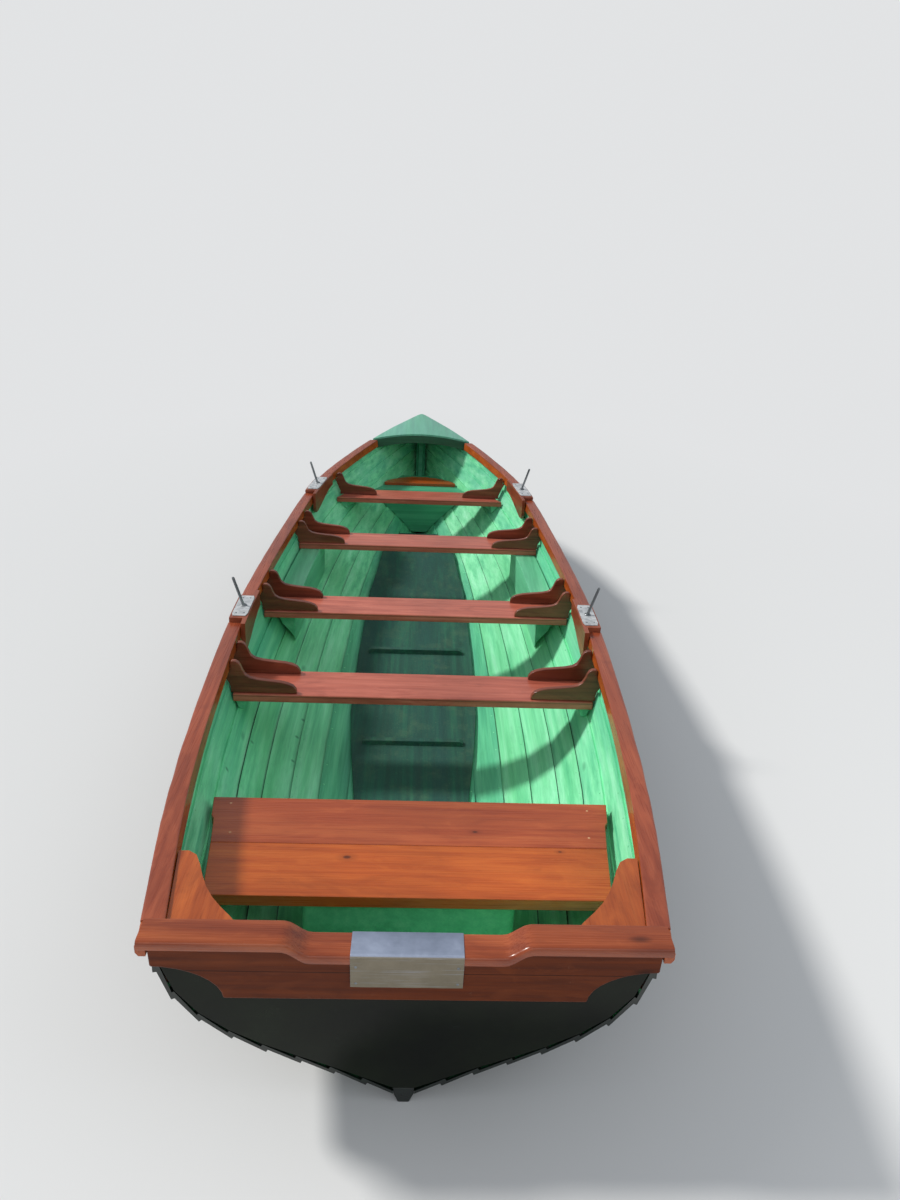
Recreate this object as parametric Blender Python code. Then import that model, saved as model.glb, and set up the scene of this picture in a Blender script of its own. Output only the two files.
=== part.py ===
"""Open rowing boat of lapped planks with a transom notched for an outboard motor.

Metres, bow towards +Y, starboard towards +X, up +Z. The keel stands on z = 0.
"""

import bpy
import bmesh
import math
from collections import namedtuple
from mathutils import Vector
from mathutils.bvhtree import BVHTree

# Overall sizes
hull_length = 5.50
half_beam = 0.80
sheer_depth = 0.62
touch_gap = 0.0003
probe_step = 0.005

# Planking
plank_thickness = 0.010
strake_count = 9
lap_width = 0.022
station_count = 37
curve_steps = 160
ledge_allowance = 0.004

# Transom and its layers
transom_rake_share = 0.09
transom_thickness = 0.022
pad_thickness = 0.030
pad_height = 0.200
pad_cut_width = 0.175
pad_cut_height = 0.112
inner_board_thickness = 0.030
inner_board_height = 0.200
notch_top_half = 0.315
notch_floor_half = 0.245
notch_depth = 0.040
motor_plate_half = 0.143
motor_plate_drop = 0.105
motor_plate_thickness = 0.003
transom_crown = 0.012

# Keel and stem
keel_depth = 0.050
keel_half_width = 0.030
keel_bottom_half = 0.0160
keel_fore_share = 0.84
keel_lip = 0.012
stem_outer = 0.040
stem_inner = 0.070
stem_tip_half = 0.010
stem_overhang = 0.46
stem_bend_share = 2.1

# Gunwales
inwale_width = 0.022
outwale_width = 0.026
inwale_depth = 0.045
outwale_depth = 0.038
gunwale_crown = 0.003
gunwale_end_gap = 0.008
twist_gap = 0.0016
outwale_overrun = 0.030

# Quarter knees
quarter_knee_fore = 0.310
quarter_knee_across = 0.185
quarter_knee_drop = 0.010
quarter_knee_thickness = 0.026

# Foredeck
deck_aft_share = 0.895
deck_thickness = 0.014
deck_camber = 0.045
deck_overhang = 0.006
deck_steps = 10
beam_depth = 0.055
beam_thickness = 0.024

# Thwarts and cleats; each drop is measured down from the sheer's height amidships
thwart_width = 0.220
thwart_thickness = 0.036
aft_thwart_edge = 1.580
aft_thwart_drop = 0.158
aft_thwart_height = sheer_depth - aft_thwart_drop
second_thwart_edge = 2.410
second_thwart_drop = 0.145
second_thwart_height = sheer_depth - second_thwart_drop
third_thwart_edge = 3.350
third_thwart_drop = 0.115
third_thwart_height = sheer_depth - third_thwart_drop
fore_thwart_edge = 4.190
fore_thwart_width = 0.200
fore_thwart_drop = 0.075
fore_thwart_height = sheer_depth - fore_thwart_drop
cleat_depth = 0.050
cleat_width = 0.055

# Knees
knee_thickness = 0.022
knee_reach = 0.272
knee_inset = 0.010
knee_head_drop = 0.006
knee_shelf_gap = 0.003

# Stern seat and the box under it
seat_aft = 0.370
seat_plank_width = 0.2415
seat_plank_joint = 0.004
seat_thickness = 0.040
seat_drop = 0.158
seat_height = sheer_depth - seat_drop
seat_end_gap = 0.014
bearer_height = 0.050
bearer_width = 0.030
bearer_overrun = 0.015
seat_box_half = 0.325
seat_box_corner = 0.022
seat_box_setback = 0.030

# Bow seat and tank
tank_aft = 4.600
tank_fore = 5.040
tank_drop = 0.142
tank_top = sheer_depth - tank_drop
tank_step = 0.005
tank_strakes = 6
bow_seat_aft = 4.755
bow_seat_fore = 4.930
bow_seat_thickness = 0.022
bow_seat_gap = 0.006

# Floor panel and stretchers
floor_aft = 0.860
floor_fore = 4.420
floor_half_width = 0.312
floor_thickness = 0.012
floor_slices = 28
floor_checks = 48
floor_looks = 10
stretcher_aft_place = 1.850
stretcher_fore_place = 2.775
stretcher_height = 0.022
stretcher_width = 0.040
stretcher_inset = 0.055

# Side boxes
box_width = 0.125
box_samples = 7
box_wall_gap = 0.002

# Rowlocks
near_rowlock_place = 2.080
far_rowlock_place = 3.960
rowlock_block_length = 0.260
rowlock_block_height = 0.022
rowlock_pad_length = 0.380
rowlock_pad_thickness = 0.020
rowlock_pad_depth = 0.110
rowlock_plate_length = 0.225
rowlock_plate_thickness = 0.004
rowlock_plate_inset = 0.006
pin_radius = 0.0065
pin_height = 0.140
pin_sides = 16

Station = namedtuple("Station", "along breadth keel_half rabbet sheer low_out low_up high_in high_down")
# along is a share of hull_length, breadth of half_beam, keel_half of keel_half_width, rabbet of
# keel_depth and sheer of sheer_depth; the four handles are shares of the section's width and height
station_shares = [
    Station(0.000, 0.794, 1.00, 1.00, 1.045, 0.36, 0.29, -0.04, 0.66),
    Station(0.115, 0.908, 1.00, 1.00, 1.008, 0.38, 0.12, 0.09, 0.68),
    Station(0.235, 0.969, 1.00, 0.98, 0.995, 0.52, 0.03, 0.06, 0.82),
    Station(0.400, 1.000, 0.98, 0.96, 0.997, 0.62, 0.01, 0.07, 0.87),
    Station(0.620, 0.919, 0.92, 1.00, 1.040, 0.54, 0.03, 0.05, 0.82),
    Station(0.750, 0.806, 0.86, 1.24, 1.105, 0.39, 0.06, 0.10, 0.67),
    Station(0.850, 0.566, 0.78, 1.60, 1.198, 0.31, 0.20, 0.13, 0.50),
    Station(0.930, 0.305, 0.72, 2.20, 1.282, 0.23, 0.26, 0.20, 0.38),
    Station(1.000, 0.026, 0.69, 3.20, 1.347, 0.10, 0.33, 0.10, 0.33),
]

Thwart = namedtuple("Thwart", "name aft width top knees")
thwarts = [
    Thwart("aft", aft_thwart_edge, thwart_width, aft_thwart_height, 2),
    Thwart("second", second_thwart_edge, thwart_width, second_thwart_height, 2),
    Thwart("third", third_thwart_edge, thwart_width, third_thwart_height, 2),
    Thwart("fore", fore_thwart_edge, fore_thwart_width, fore_thwart_height, 1),
]

FloorCut = namedtuple("FloorCut", "along half")
# along is a share of the panel's own length, half of floor_half_width
floor_cut_shares = [
    FloorCut(0.000, 0.56),
    FloorCut(0.145, 0.76),
    FloorCut(0.270, 0.91),
    FloorCut(0.364, 0.99),
    FloorCut(0.540, 1.00),
    FloorCut(0.748, 0.95),
    FloorCut(0.930, 0.72),
    FloorCut(1.000, 0.43),
]

Stretcher = namedtuple("Stretcher", "name along")
stretchers = [
    Stretcher("aft", stretcher_aft_place),
    Stretcher("fore", stretcher_fore_place),
]

Rowlock = namedtuple("Rowlock", "name along")
rowlocks = [
    Rowlock("aft", near_rowlock_place),
    Rowlock("fore", far_rowlock_place),
]

Profile = namedtuple("Profile", "across height")
# across runs from the head's gunwale face to the toe, height from the thwart to the head
knee_profile_shares = [
    Profile(0.030, 1.000),
    Profile(0.085, 0.995),
    Profile(0.130, 0.940),
    Profile(0.160, 0.840),
    Profile(0.190, 0.690),
    Profile(0.225, 0.570),
    Profile(0.290, 0.485),
    Profile(0.400, 0.435),
    Profile(0.560, 0.400),
    Profile(0.760, 0.360),
    Profile(0.870, 0.310),
    Profile(0.945, 0.240),
    Profile(0.988, 0.140),
    Profile(1.000, 0.060),
]

Corner = namedtuple("Corner", "along across")
# along runs from the transom to the knee's tip, across from the gunwale to the knee's transom end
quarter_knee_shares = [
    Corner(1.000, 0.16),
    Corner(0.940, 0.28),
    Corner(0.800, 0.355),
    Corner(0.640, 0.415),
    Corner(0.490, 0.490),
    Corner(0.350, 0.600),
    Corner(0.230, 0.730),
    Corner(0.120, 0.870),
    Corner(0.000, 1.000),
]

PadCut = namedtuple("PadCut", "along depth")
# along runs from the pad's aft end to its fore end, depth is a share of rowlock_pad_depth
pad_cut_shares = [
    PadCut(0.000, 0.72),
    PadCut(0.055, 0.97),
    PadCut(0.158, 1.00),
    PadCut(0.340, 0.90),
    PadCut(0.600, 0.68),
    PadCut(0.842, 0.50),
    PadCut(1.000, 0.44),
]

Lens = namedtuple("Lens", "along half")
# along runs over the bow seat's width, half is a share of its half length at the aft edge
bow_seat_shares = [
    Lens(0.000, 0.960),
    Lens(0.055, 0.995),
    Lens(0.130, 1.000),
    Lens(0.320, 0.915),
    Lens(0.540, 0.770),
    Lens(0.740, 0.590),
    Lens(0.890, 0.390),
    Lens(1.000, 0.160),
]

Paint = namedtuple("Paint", "name red green blue metal rough")
paint_shares = {
    "green": Paint("Green paint", 0.13, 0.45, 0.25, 0.0, 0.45),
    "floor": Paint("Floor paint", 0.04, 0.16, 0.10, 0.0, 0.85),
    "dark": Paint("Dark outside paint", 0.008, 0.022, 0.014, 0.0, 0.22),
    "deck": Paint("Deck paint", 0.13, 0.37, 0.30, 0.0, 0.55),
    "varnish": Paint("Varnished wood", 0.42, 0.13, 0.04, 0.0, 0.28),
    "alloy": Paint("Aluminium", 0.62, 0.63, 0.66, 1.0, 0.35),
    "galvanised": Paint("Galvanised steel", 0.52, 0.53, 0.54, 1.0, 0.45),
}


def clear_scene():
    for thing in list(bpy.data.objects):
        bpy.data.objects.remove(thing, do_unlink=True)
    for mesh in list(bpy.data.meshes):
        bpy.data.meshes.remove(mesh)


def paint_for(key, part_name):
    paint = paint_shares[key]
    material = bpy.data.materials.new(part_name + " " + paint.name.lower())
    material.use_nodes = True
    shader = material.node_tree.nodes["Principled BSDF"]
    shader.inputs["Base Color"].default_value = (paint.red, paint.green, paint.blue, 1.0)
    shader.inputs["Metallic"].default_value = paint.metal
    shader.inputs["Roughness"].default_value = paint.rough
    material.diffuse_color = (paint.red, paint.green, paint.blue, 1.0)
    return material


def blend(low, high, share):
    return low + (high - low) * share


def table_row(along):
    """Interpolate the station table smoothly at one share of the length."""
    last = len(station_shares) - 1
    index = 0
    while index < last - 1 and along > station_shares[index + 1].along:
        index += 1
    start, end = station_shares[index], station_shares[index + 1]
    before = station_shares[max(index - 1, 0)]
    after = station_shares[min(index + 2, last)]
    span = end.along - start.along
    share = (along - start.along) / span
    values = []
    for column in range(1, len(Station._fields)):
        rise_in = (end[column] - before[column]) / (end.along - before.along) * span
        rise_out = (after[column] - start[column]) / (after.along - start.along) * span
        square, cube = share * share, share ** 3
        values.append(
            (2 * cube - 3 * square + 1) * start[column]
            + (cube - 2 * square + share) * rise_in
            + (3 * square - 2 * cube) * end[column]
            + (cube - square) * rise_out
        )
    return Station(along, *values)


section_store = {}
ledge_lines = {}


def section(along):
    """Points, lengths and row of the inside line of the planking at one share of the length."""
    key = round(along, 7)
    if key in section_store:
        return section_store[key]
    row = table_row(along)
    row = row._replace(keel_half=row.keel_half * keel_half_width, rabbet=row.rabbet * keel_depth)
    x_low, z_low = row.keel_half, row.rabbet
    x_high, z_high = max(row.breadth * half_beam, row.keel_half), row.sheer * sheer_depth
    width, height = x_high - x_low, z_high - z_low
    handles = [
        (x_low, z_low),
        (x_low + row.low_out * width, z_low + row.low_up * height),
        (x_high - row.high_in * width, z_high - row.high_down * height),
        (x_high, z_high),
    ]
    points = []
    for step in range(curve_steps + 1):
        t = step / curve_steps
        weights = ((1 - t) ** 3, 3 * t * (1 - t) ** 2, 3 * t * t * (1 - t), t ** 3)
        points.append((
            sum(weight * handle[0] for weight, handle in zip(weights, handles)),
            sum(weight * handle[1] for weight, handle in zip(weights, handles)),
        ))
    lengths = [0.0]
    for first, second in zip(points, points[1:]):
        lengths.append(lengths[-1] + math.hypot(second[0] - first[0], second[1] - first[1]))
    section_store[key] = (points, lengths, row)
    return section_store[key]


def line_point(along, girth_share, offset):
    """A point set off outwards from the inside line, at a share of its girth."""
    points, lengths, row = section(along)
    wanted = girth_share * lengths[-1]
    index = 0
    while index < len(points) - 2 and lengths[index + 1] < wanted:
        index += 1
    span = lengths[index + 1] - lengths[index]
    share = (wanted - lengths[index]) / span
    first, second = points[index], points[index + 1]
    x = blend(first[0], second[0], share)
    z = blend(first[1], second[1], share)
    across_x, across_z = (second[0] - first[0]) / span, (second[1] - first[1]) / span
    return x + across_z * offset, z - across_x * offset


def strake_edges():
    return [index / strake_count for index in range(strake_count + 1)]


def transom_line(z):
    return transom_rake_share * (station_shares[0].sheer * sheer_depth - z)


def stem_line(z):
    low = station_shares[-1].rabbet * keel_depth
    high = station_shares[-1].sheer * sheer_depth
    share = min(max((z - low) / (high - low), 0.0), 1.0)
    return hull_length - stem_overhang * (1.0 - share) ** stem_bend_share


def place(along, x, z):
    return Vector((x, blend(transom_line(z), stem_line(z), along), z))


def lap_point(along, strake, inwards):
    """Where a strake's top edge meets the straight inside face of the strake above it."""
    edges = strake_edges()
    lap = lap_width / section(along)[1][-1]
    width = 1.0 / strake_count
    reach = (plank_thickness + touch_gap) * (width + lap) / width
    foot = line_point(along, edges[strake + 1] - lap, reach)
    head = line_point(along, edges[strake + 2], 0.0)
    share = lap / (width + lap)
    run = math.hypot(head[0] - foot[0], head[1] - foot[1])
    across_x, across_z = (head[1] - foot[1]) / run, -(head[0] - foot[0]) / run
    x, z = blend(foot[0], head[0], share), blend(foot[1], head[1], share)
    return x - across_x * inwards, z - across_z * inwards


def band_lines(along, low_strake, high_strake):
    """Section of a band of strakes, as its inside line and its outside line, both upwards."""
    edges = strake_edges()
    girth = section(along)[1][-1]
    lap = lap_width / girth
    width = 1.0 / strake_count
    reach = (plank_thickness + touch_gap) * (width + lap) / width
    inside, outside = [], []
    if low_strake == 0:
        x, z = line_point(along, 0.0, 0.0)
        inside.append((x, z))
        outside.append((x, z - plank_thickness * 1.25))
    else:
        inside.append(line_point(along, edges[low_strake] - lap, reach))
        outside.append(line_point(along, edges[low_strake] - lap, reach + plank_thickness))
        inside.append(lap_point(along, low_strake - 1, 0.0))
    for strake in range(low_strake, high_strake + 1):
        inside.append(line_point(along, edges[strake + 1], 0.0))
        if strake < strake_count - 1:
            outside.append(line_point(along, edges[strake + 1] - lap, reach - touch_gap))
        if strake < high_strake:
            inside.append(lap_point(along, strake, 0.0))
            outside.append(line_point(along, edges[strake + 1] - lap, reach + plank_thickness))
    if high_strake < strake_count - 1:
        outside.append(lap_point(along, high_strake, touch_gap))
    else:
        outside.append(line_point(along, 1.0, plank_thickness))
    return inside, outside


def add_solid(name, rings, paint_key, turn_at=0):
    """One closed body from rings of equal length, with its two ends capped.

    The long faces before turn_at are split along one diagonal and the rest along the other, so that
    neighbours which lie face to face are split alike.
    """
    shape = bmesh.new()
    made = [[shape.verts.new(point) for point in ring] for ring in rings]
    for first, second in zip(made, made[1:]):
        for index in range(len(first)):
            follow = (index + 1) % len(first)
            if index < turn_at:
                shape.faces.new((first[index], first[follow], second[follow]))
                shape.faces.new((first[index], second[follow], second[index]))
            else:
                shape.faces.new((first[index], first[follow], second[index]))
                shape.faces.new((first[follow], second[follow], second[index]))
    caps = [shape.faces.new(made[0]), shape.faces.new(list(reversed(made[-1])))]
    for cap in caps:
        cap.normal_update()
    bmesh.ops.triangulate(shape, faces=caps, quad_method="FIXED", ngon_method="EAR_CLIP")
    return finish_shape(name, shape, paint_key)


def finish_shape(name, shape, paint_key):
    bmesh.ops.recalc_face_normals(shape, faces=shape.faces[:])
    if shape.calc_volume(signed=True) < 0.0:
        bmesh.ops.reverse_faces(shape, faces=shape.faces[:])
    mesh = bpy.data.meshes.new(name)
    shape.to_mesh(mesh)
    shape.free()
    thing = bpy.data.objects.new(name, mesh)
    bpy.context.scene.collection.objects.link(thing)
    mesh.materials.append(paint_for(paint_key, name))
    return thing


def mirrored(ring, side):
    return [Vector((point.x * side, point.y, point.z)) for point in ring]


def place_shares():
    """Shares of the length at which the hull's sections are set, from the transom to the stem."""
    fore_face = (transom_thickness + inner_board_thickness) / hull_length
    even = [index / (station_count - 1) for index in range(station_count)]
    return [0.0, fore_face] + even[1:]


sides = [("port", -1.0), ("starboard", 1.0)]
bands = [("lower", 0, 2), ("middle", 3, 5), ("upper", 6, strake_count - 1)]


def build_planking():
    made = []
    for side_name, side in sides:
        for band_name, low_strake, high_strake in bands:
            rings = []
            for along in place_shares():
                inside, outside = band_lines(along, low_strake, high_strake)
                ring = [place(along, x, z) for x, z in inside + outside[::-1]]
                rings.append(mirrored(ring, side))
            turn = len(inside)
            made.append(add_solid(band_name + "_planking_" + side_name, rings, "green", turn))
    return made


def build_keel():
    rings = []
    for along in place_shares():
        if along > keel_fore_share:
            break
        along_end = along
        row = section(along)[2]
        half = row.keel_half - touch_gap
        low, high = row.rabbet - keel_lip, row.rabbet + keel_lip
        outline = [
            (-keel_bottom_half, 0.0), (keel_bottom_half, 0.0), (half, low),
            (half, high), (-half, high), (-half, low),
        ]
        rings.append([place(along, x, z) for x, z in outline])
    end_y = place(along_end, 0.0, section(along_end)[2].rabbet).y
    for point in rings[-1]:
        point.y = end_y
    add_solid("keel", rings, "dark")


def build_stem():
    """The stem carries on the keel's section and turns up along the planks' fore ends."""
    path = []
    fore = [along for along in place_shares() if along > keel_fore_share]
    start = [along for along in place_shares() if along <= keel_fore_share][-1]
    for along in [start] + fore:
        row = section(along)[2]
        point = place(along, 0.0, row.rabbet)
        path.append((point.y, point.z, row.keel_half))
    low, high = station_shares[-1].rabbet * keel_depth, station_shares[-1].sheer * sheer_depth
    tip_half = station_shares[-1].keel_half * keel_half_width
    rises = 10
    for index in range(1, rises + 1):
        z = blend(low, high - touch_gap * 2, index / rises)
        path.append((stem_line(z), z, tip_half))
    rings = []
    for index, (y, z, half) in enumerate(path):
        before = path[max(index - 1, 0)]
        after = path[min(index + 1, len(path) - 1)]
        run = math.hypot(after[0] - before[0], after[1] - before[1])
        out_y, out_z = (after[1] - before[1]) / run, -(after[0] - before[0]) / run
        share = index / (len(path) - 1)
        half_here = half - touch_gap
        bottom_half = blend(keel_bottom_half, stem_tip_half, min(share * 2.0, 1.0))
        inner = blend(keel_lip, stem_inner, min(max(share * 2.2 - 0.5, 0.0), 1.0))
        if index == 0:
            outer_point = (y + touch_gap, 0.0)
            mid_point = (y + touch_gap, z - keel_lip)
            inner_point = (y + touch_gap, z + keel_lip)
        else:
            outer = blend(z, stem_outer, min(share * 2.0, 1.0))
            outer_point = (y + out_y * outer, max(z + out_z * outer, 0.0))
            mid_point = (y + out_y * keel_lip * 0.3, z + out_z * keel_lip * 0.3)
            inner_point = (y - out_y * inner, min(z - out_z * inner, high - touch_gap * 2))
        ring = [
            Vector((-bottom_half, *outer_point)), Vector((bottom_half, *outer_point)),
            Vector((half_here, *mid_point)), Vector((half_here, *inner_point)),
            Vector((-half_here, *inner_point)), Vector((-half_here, *mid_point)),
        ]
        for point in ring:
            if share > 0.5:
                point.z = min(point.z, sheer_at(point.y)[1] - touch_gap * 2)
        rings.append(ring)
    add_solid("stem", rings, "dark")


def hull_outline(along, clearance, top):
    """Half outline inside the planking from the keel up, as (x, z) points set in by a clearance."""
    row = section(along)[2]
    points = [(row.keel_half - clearance, row.rabbet + keel_lip + clearance)]
    for edge in strake_edges()[1:]:
        x, z = line_point(along, edge, 0.0)
        if z < top - clearance:
            points.append((x - clearance, z + clearance))
    points.append((points[-1][0], top))
    return points


def notch_points(top):
    """Top edge of the transom layers from starboard to port, with the motor notch."""
    points = []
    steps = 6
    for side in (1.0, -1.0):
        curve = []
        for index in range(steps + 1):
            share = index / steps
            drop = (1.0 - math.cos(math.pi * share)) / 2.0
            curve.append((
                side * blend(notch_top_half, notch_floor_half, share),
                top - notch_depth * drop,
            ))
        points += curve if side > 0 else curve[::-1]
    return points


def transom_top():
    return station_shares[0].sheer * sheer_depth + transom_crown


def add_plate(name, outline, aft, fore, paint_key):
    """A plate of one outline, parallel to the raked transom, between two distances forward."""
    rings = []
    for distance in (aft, fore):
        rings.append([Vector((x, transom_line(z) + distance, z)) for x, z in outline])
    return add_solid(name, rings, paint_key)


def build_transom():
    top = transom_top()
    hull = hull_outline(0.0, touch_gap * 2, top)
    outline = hull + notch_points(top) + [(-x, z) for x, z in reversed(hull)]
    add_plate("transom", outline, touch_gap, transom_thickness, "dark")

    outer_half = hull[-1][0] + plank_thickness
    low = top - pad_height
    corner = []
    steps = 8
    for index in range(steps + 1):
        turn = math.pi / 2.0 * index / steps
        corner.append((
            outer_half - pad_cut_width * math.cos(turn),
            low + pad_cut_height * math.sin(turn),
        ))
    half = corner + [(outer_half, top)]
    outline = half + notch_points(top) + [(-x, z) for x, z in reversed(half)]
    add_plate("transom_outer_pad", outline, -pad_thickness, -touch_gap, "varnish")

    board_low = top - inner_board_height
    upper = [point for point in hull if point[1] > board_low + lap_width]
    low_x = inside_x(transom_line(board_low) + transom_thickness, board_low) - touch_gap
    half = [(min(low_x, upper[0][0]), board_low)] + upper
    outline = half + notch_points(top) + [(-x, z) for x, z in reversed(half)]
    fore = transom_thickness + inner_board_thickness
    add_plate("transom_inner_board", outline, transom_thickness + touch_gap, fore, "varnish")

    floor = top - notch_depth + touch_gap
    thick = motor_plate_thickness
    aft = -pad_thickness - touch_gap
    rake_back = transom_rake_share * motor_plate_drop
    bend = [
        (aft, floor), (fore, floor), (fore, floor + thick), (aft - thick, floor + thick),
        (aft - thick + rake_back, floor - motor_plate_drop), (aft + rake_back, floor - motor_plate_drop),
    ]
    base = transom_line(floor)
    rings = []
    for x in (-motor_plate_half, motor_plate_half):
        rings.append([Vector((x, base + y, z)) for y, z in bend])
    add_solid("motor_plate", rings, "alloy")


def inside_x(y, z):
    """Half breadth inside the planking, found on the built planks themselves."""
    hit = hull_tree.ray_cast(Vector((0.0, y, z)), Vector((1.0, 0.0, 0.0)))
    if hit[0] is None:
        return half_beam
    return hit[0].x


def least_inside_x(y, low, high):
    """Least half breadth over a small range of heights."""
    checks = 9
    low, high = low - ledge_allowance, high + ledge_allowance
    for turn in range(3):
        heights = [blend(low, high, index / (checks - 1)) for index in range(checks)]
        found = [inside_x(y, height) for height in heights]
        best = found.index(min(found))
        low, high = heights[max(best - 1, 0)], heights[min(best + 1, checks - 1)]
    return min(found)


def leaning_face(y, low, high):
    """Half breadths at two heights of a straight face that just clears the planking between them."""
    checks = 25
    lean = (inside_x(y, high) - inside_x(y, low)) / (high - low)
    room = half_beam
    for index in range(checks):
        z = blend(low - ledge_allowance, high + ledge_allowance, index / (checks - 1))
        room = min(room, inside_x(y, z) - lean * (z - low))
    return room - touch_gap * 2, room + lean * (high - low) - touch_gap * 2


def ledge_point(strake, y):
    """Where the inner top edge of a strake crosses one distance forward."""
    if strake not in ledge_lines:
        edge = strake_edges()[strake]
        ledge_lines[strake] = [place(along, *line_point(along, edge, 0.0)) for along in place_shares()]
    line = ledge_lines[strake]
    for first, second in zip(line, line[1:]):
        if first.y <= y <= second.y:
            return first.lerp(second, (y - first.y) / (second.y - first.y))
    return line[-1]


def ledge_outline(y, strakes_met, top):
    """Half outline that rests on the strakes' inner top edges, up to a level top."""
    ledges = [ledge_point(strake, y) for strake in range(1, strake_count)]
    half = []
    for index in range(strakes_met + 1):
        highest = top - (strakes_met - index) * floor_thickness * 0.4
        z = min(ledges[index].z, highest) if index < strakes_met else top
        above = [point for point in ledges if point.z >= z - touch_gap][0]
        below = ledges[max(ledges.index(above) - 1, 0)]
        if below is above:
            x = above.x
        else:
            x = blend(below.x, above.x, (z - below.z) / (above.z - below.z))
        half.append((x, z))
    inset = 0.0
    checks = 12
    for first, second in zip(half, half[1:]):
        for index in range(checks + 1):
            share = index / checks
            x, z = blend(first[0], second[0], share), blend(first[1], second[1], share)
            inset = max(inset, x - inside_x(y, z))
    return [(x - inset - touch_gap * 2, z) for x, z in half]


def bottom_z(x, y):
    """Height of the inside of the planking under a point."""
    hit = hull_tree.ray_cast(Vector((x, y, sheer_depth * 0.9)), Vector((0.0, 0.0, -1.0)))
    if hit[0] is None:
        return 0.0
    return hit[0].z


def gunwale_places(along):
    """Inside and outside of the top strake at the sheer and lower down."""
    inner_low = lap_point(along, strake_count - 2, 0.0)
    inner_high = line_point(along, 1.0, 0.0)
    outer_high = line_point(along, 1.0, plank_thickness)
    girth = section(along)[1][-1]
    lap = lap_width / girth
    width = 1.0 / strake_count
    reach = (plank_thickness + touch_gap) * (width + lap) / width
    outer_low = line_point(along, (strake_count - 1) / strake_count - lap, reach + plank_thickness)
    return [place(along, x, z) for x, z in (inner_low, inner_high, outer_low, outer_high)]


def along_edge(low, high, drop):
    """Point on the line from high to low that lies a drop under high."""
    return high.lerp(low, drop / (high.z - low.z))


def set_off(points):
    """Points moved across and up from points on the planking."""
    return [point + Vector((across, 0.0, up)) for point, across, up in points]


def build_gunwales():
    made = []
    for side_name, side in sides:
        inner_rings, outer_rings = [], []
        end = deck_aft_share - gunwale_end_gap / hull_length
        shares = [along for along in place_shares() if along < end] + [end]
        start = (transom_thickness + inner_board_thickness + touch_gap * 2) / hull_length
        for along in [start] + shares[2:]:
            inner_low, inner_high, outer_low, outer_high = gunwale_places(along)
            head = inner_high
            foot = along_edge(inner_low, inner_high, inwale_depth)
            ring = set_off([
                (head, -twist_gap, 0.0), (foot, -twist_gap, 0.0), (foot, -twist_gap - inwale_width, 0.0),
                (head, -twist_gap - inwale_width, 0.0),
                (head, -twist_gap - inwale_width * 0.5, gunwale_crown),
            ])
            inner_rings.append(mirrored(ring, side))
        for along in shares:
            inner_low, inner_high, outer_low, outer_high = gunwale_places(along)
            head = outer_high
            foot = along_edge(outer_low, outer_high, outwale_depth)
            near, far = twist_gap, twist_gap + outwale_width
            ring = set_off([
                (head, near, 0.0), (foot, near, 0.0), (foot, blend(near, far, 0.7), 0.0),
                (foot, far, outwale_depth * 0.3), (head, far, -gunwale_crown),
                (head, blend(near, far, 0.5), gunwale_crown),
            ])
            if not outer_rings:
                shift = Vector((0.0, -outwale_overrun, 0.0))
                outer_rings.append(mirrored([point + shift for point in ring], side))
            outer_rings.append(mirrored(ring, side))
        made.append(add_solid("inwale_" + side_name, inner_rings, "varnish"))
        add_solid("outwale_" + side_name, outer_rings, "varnish")
    return made


def sheer_at(y):
    """Share of the length, sheer height and half breadth at a distance forward."""
    low, high = 0.0, 1.0
    for step in range(40):
        middle = (low + high) / 2.0
        x, z = line_point(middle, 1.0, 0.0)
        if place(middle, x, z).y < y:
            low = middle
        else:
            high = middle
    x, z = line_point(low, 1.0, 0.0)
    return low, z, x


def inwale_face(y, z):
    """Half breadth of the inside face of the inwale, found on the built inwale."""
    hit = gunwale_tree.ray_cast(Vector((0.0, y, z)), Vector((1.0, 0.0, 0.0)))
    if hit[0] is None:
        return half_beam
    return hit[0].x


def least_inwale_x(aft, fore, low, high):
    """Least half breadth of the inwale's inside face over a small patch."""
    checks = 7
    least = half_beam
    for row in range(checks):
        y = blend(aft, fore, row / (checks - 1))
        for column in range(checks):
            least = min(least, inwale_face(y, blend(low, high, column / (checks - 1))))
    return least


def inwale_bottom(y):
    """Height of the inwale's underside."""
    sheer, breadth = sheer_at(y)[1:]
    x = breadth - inwale_width * 0.6
    while x > breadth - inwale_width * 2.5:
        hit = gunwale_tree.ray_cast(Vector((x, y, sheer - inwale_depth * 3.0)), Vector((0.0, 0.0, 1.0)))
        if hit[0] is not None:
            return hit[0].z
        x -= inwale_width * 0.2
    return sheer - inwale_depth


def build_quarter_knees():
    aft = transom_thickness + inner_board_thickness + touch_gap * 3
    for side_name, side in sides:
        low = quarter_knee_drop + quarter_knee_thickness
        base = transom_line(sheer_at(aft)[1] - low) + aft
        flat = []
        spans = 6
        for index in range(spans):
            y = base + quarter_knee_fore * index / (spans - 1)
            top_here = sheer_at(y)[1]
            x = least_inwale_x(y - probe_step, y + probe_step, top_here - low, top_here - quarter_knee_drop)
            flat.append((x - touch_gap * 2, y))
        for corner in quarter_knee_shares:
            y = base + quarter_knee_fore * corner.along
            edge = blend(flat[0][0], flat[spans - 1][0], corner.along)
            flat.append((edge - quarter_knee_across * corner.across, y))
        rings = []
        for level in (quarter_knee_drop, low):
            ring = [Vector((x * side, y, sheer_at(y)[1] - level)) for x, y in flat]
            rings.append(ring)
        add_solid("quarter_knee_" + side_name, rings, "varnish")


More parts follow.
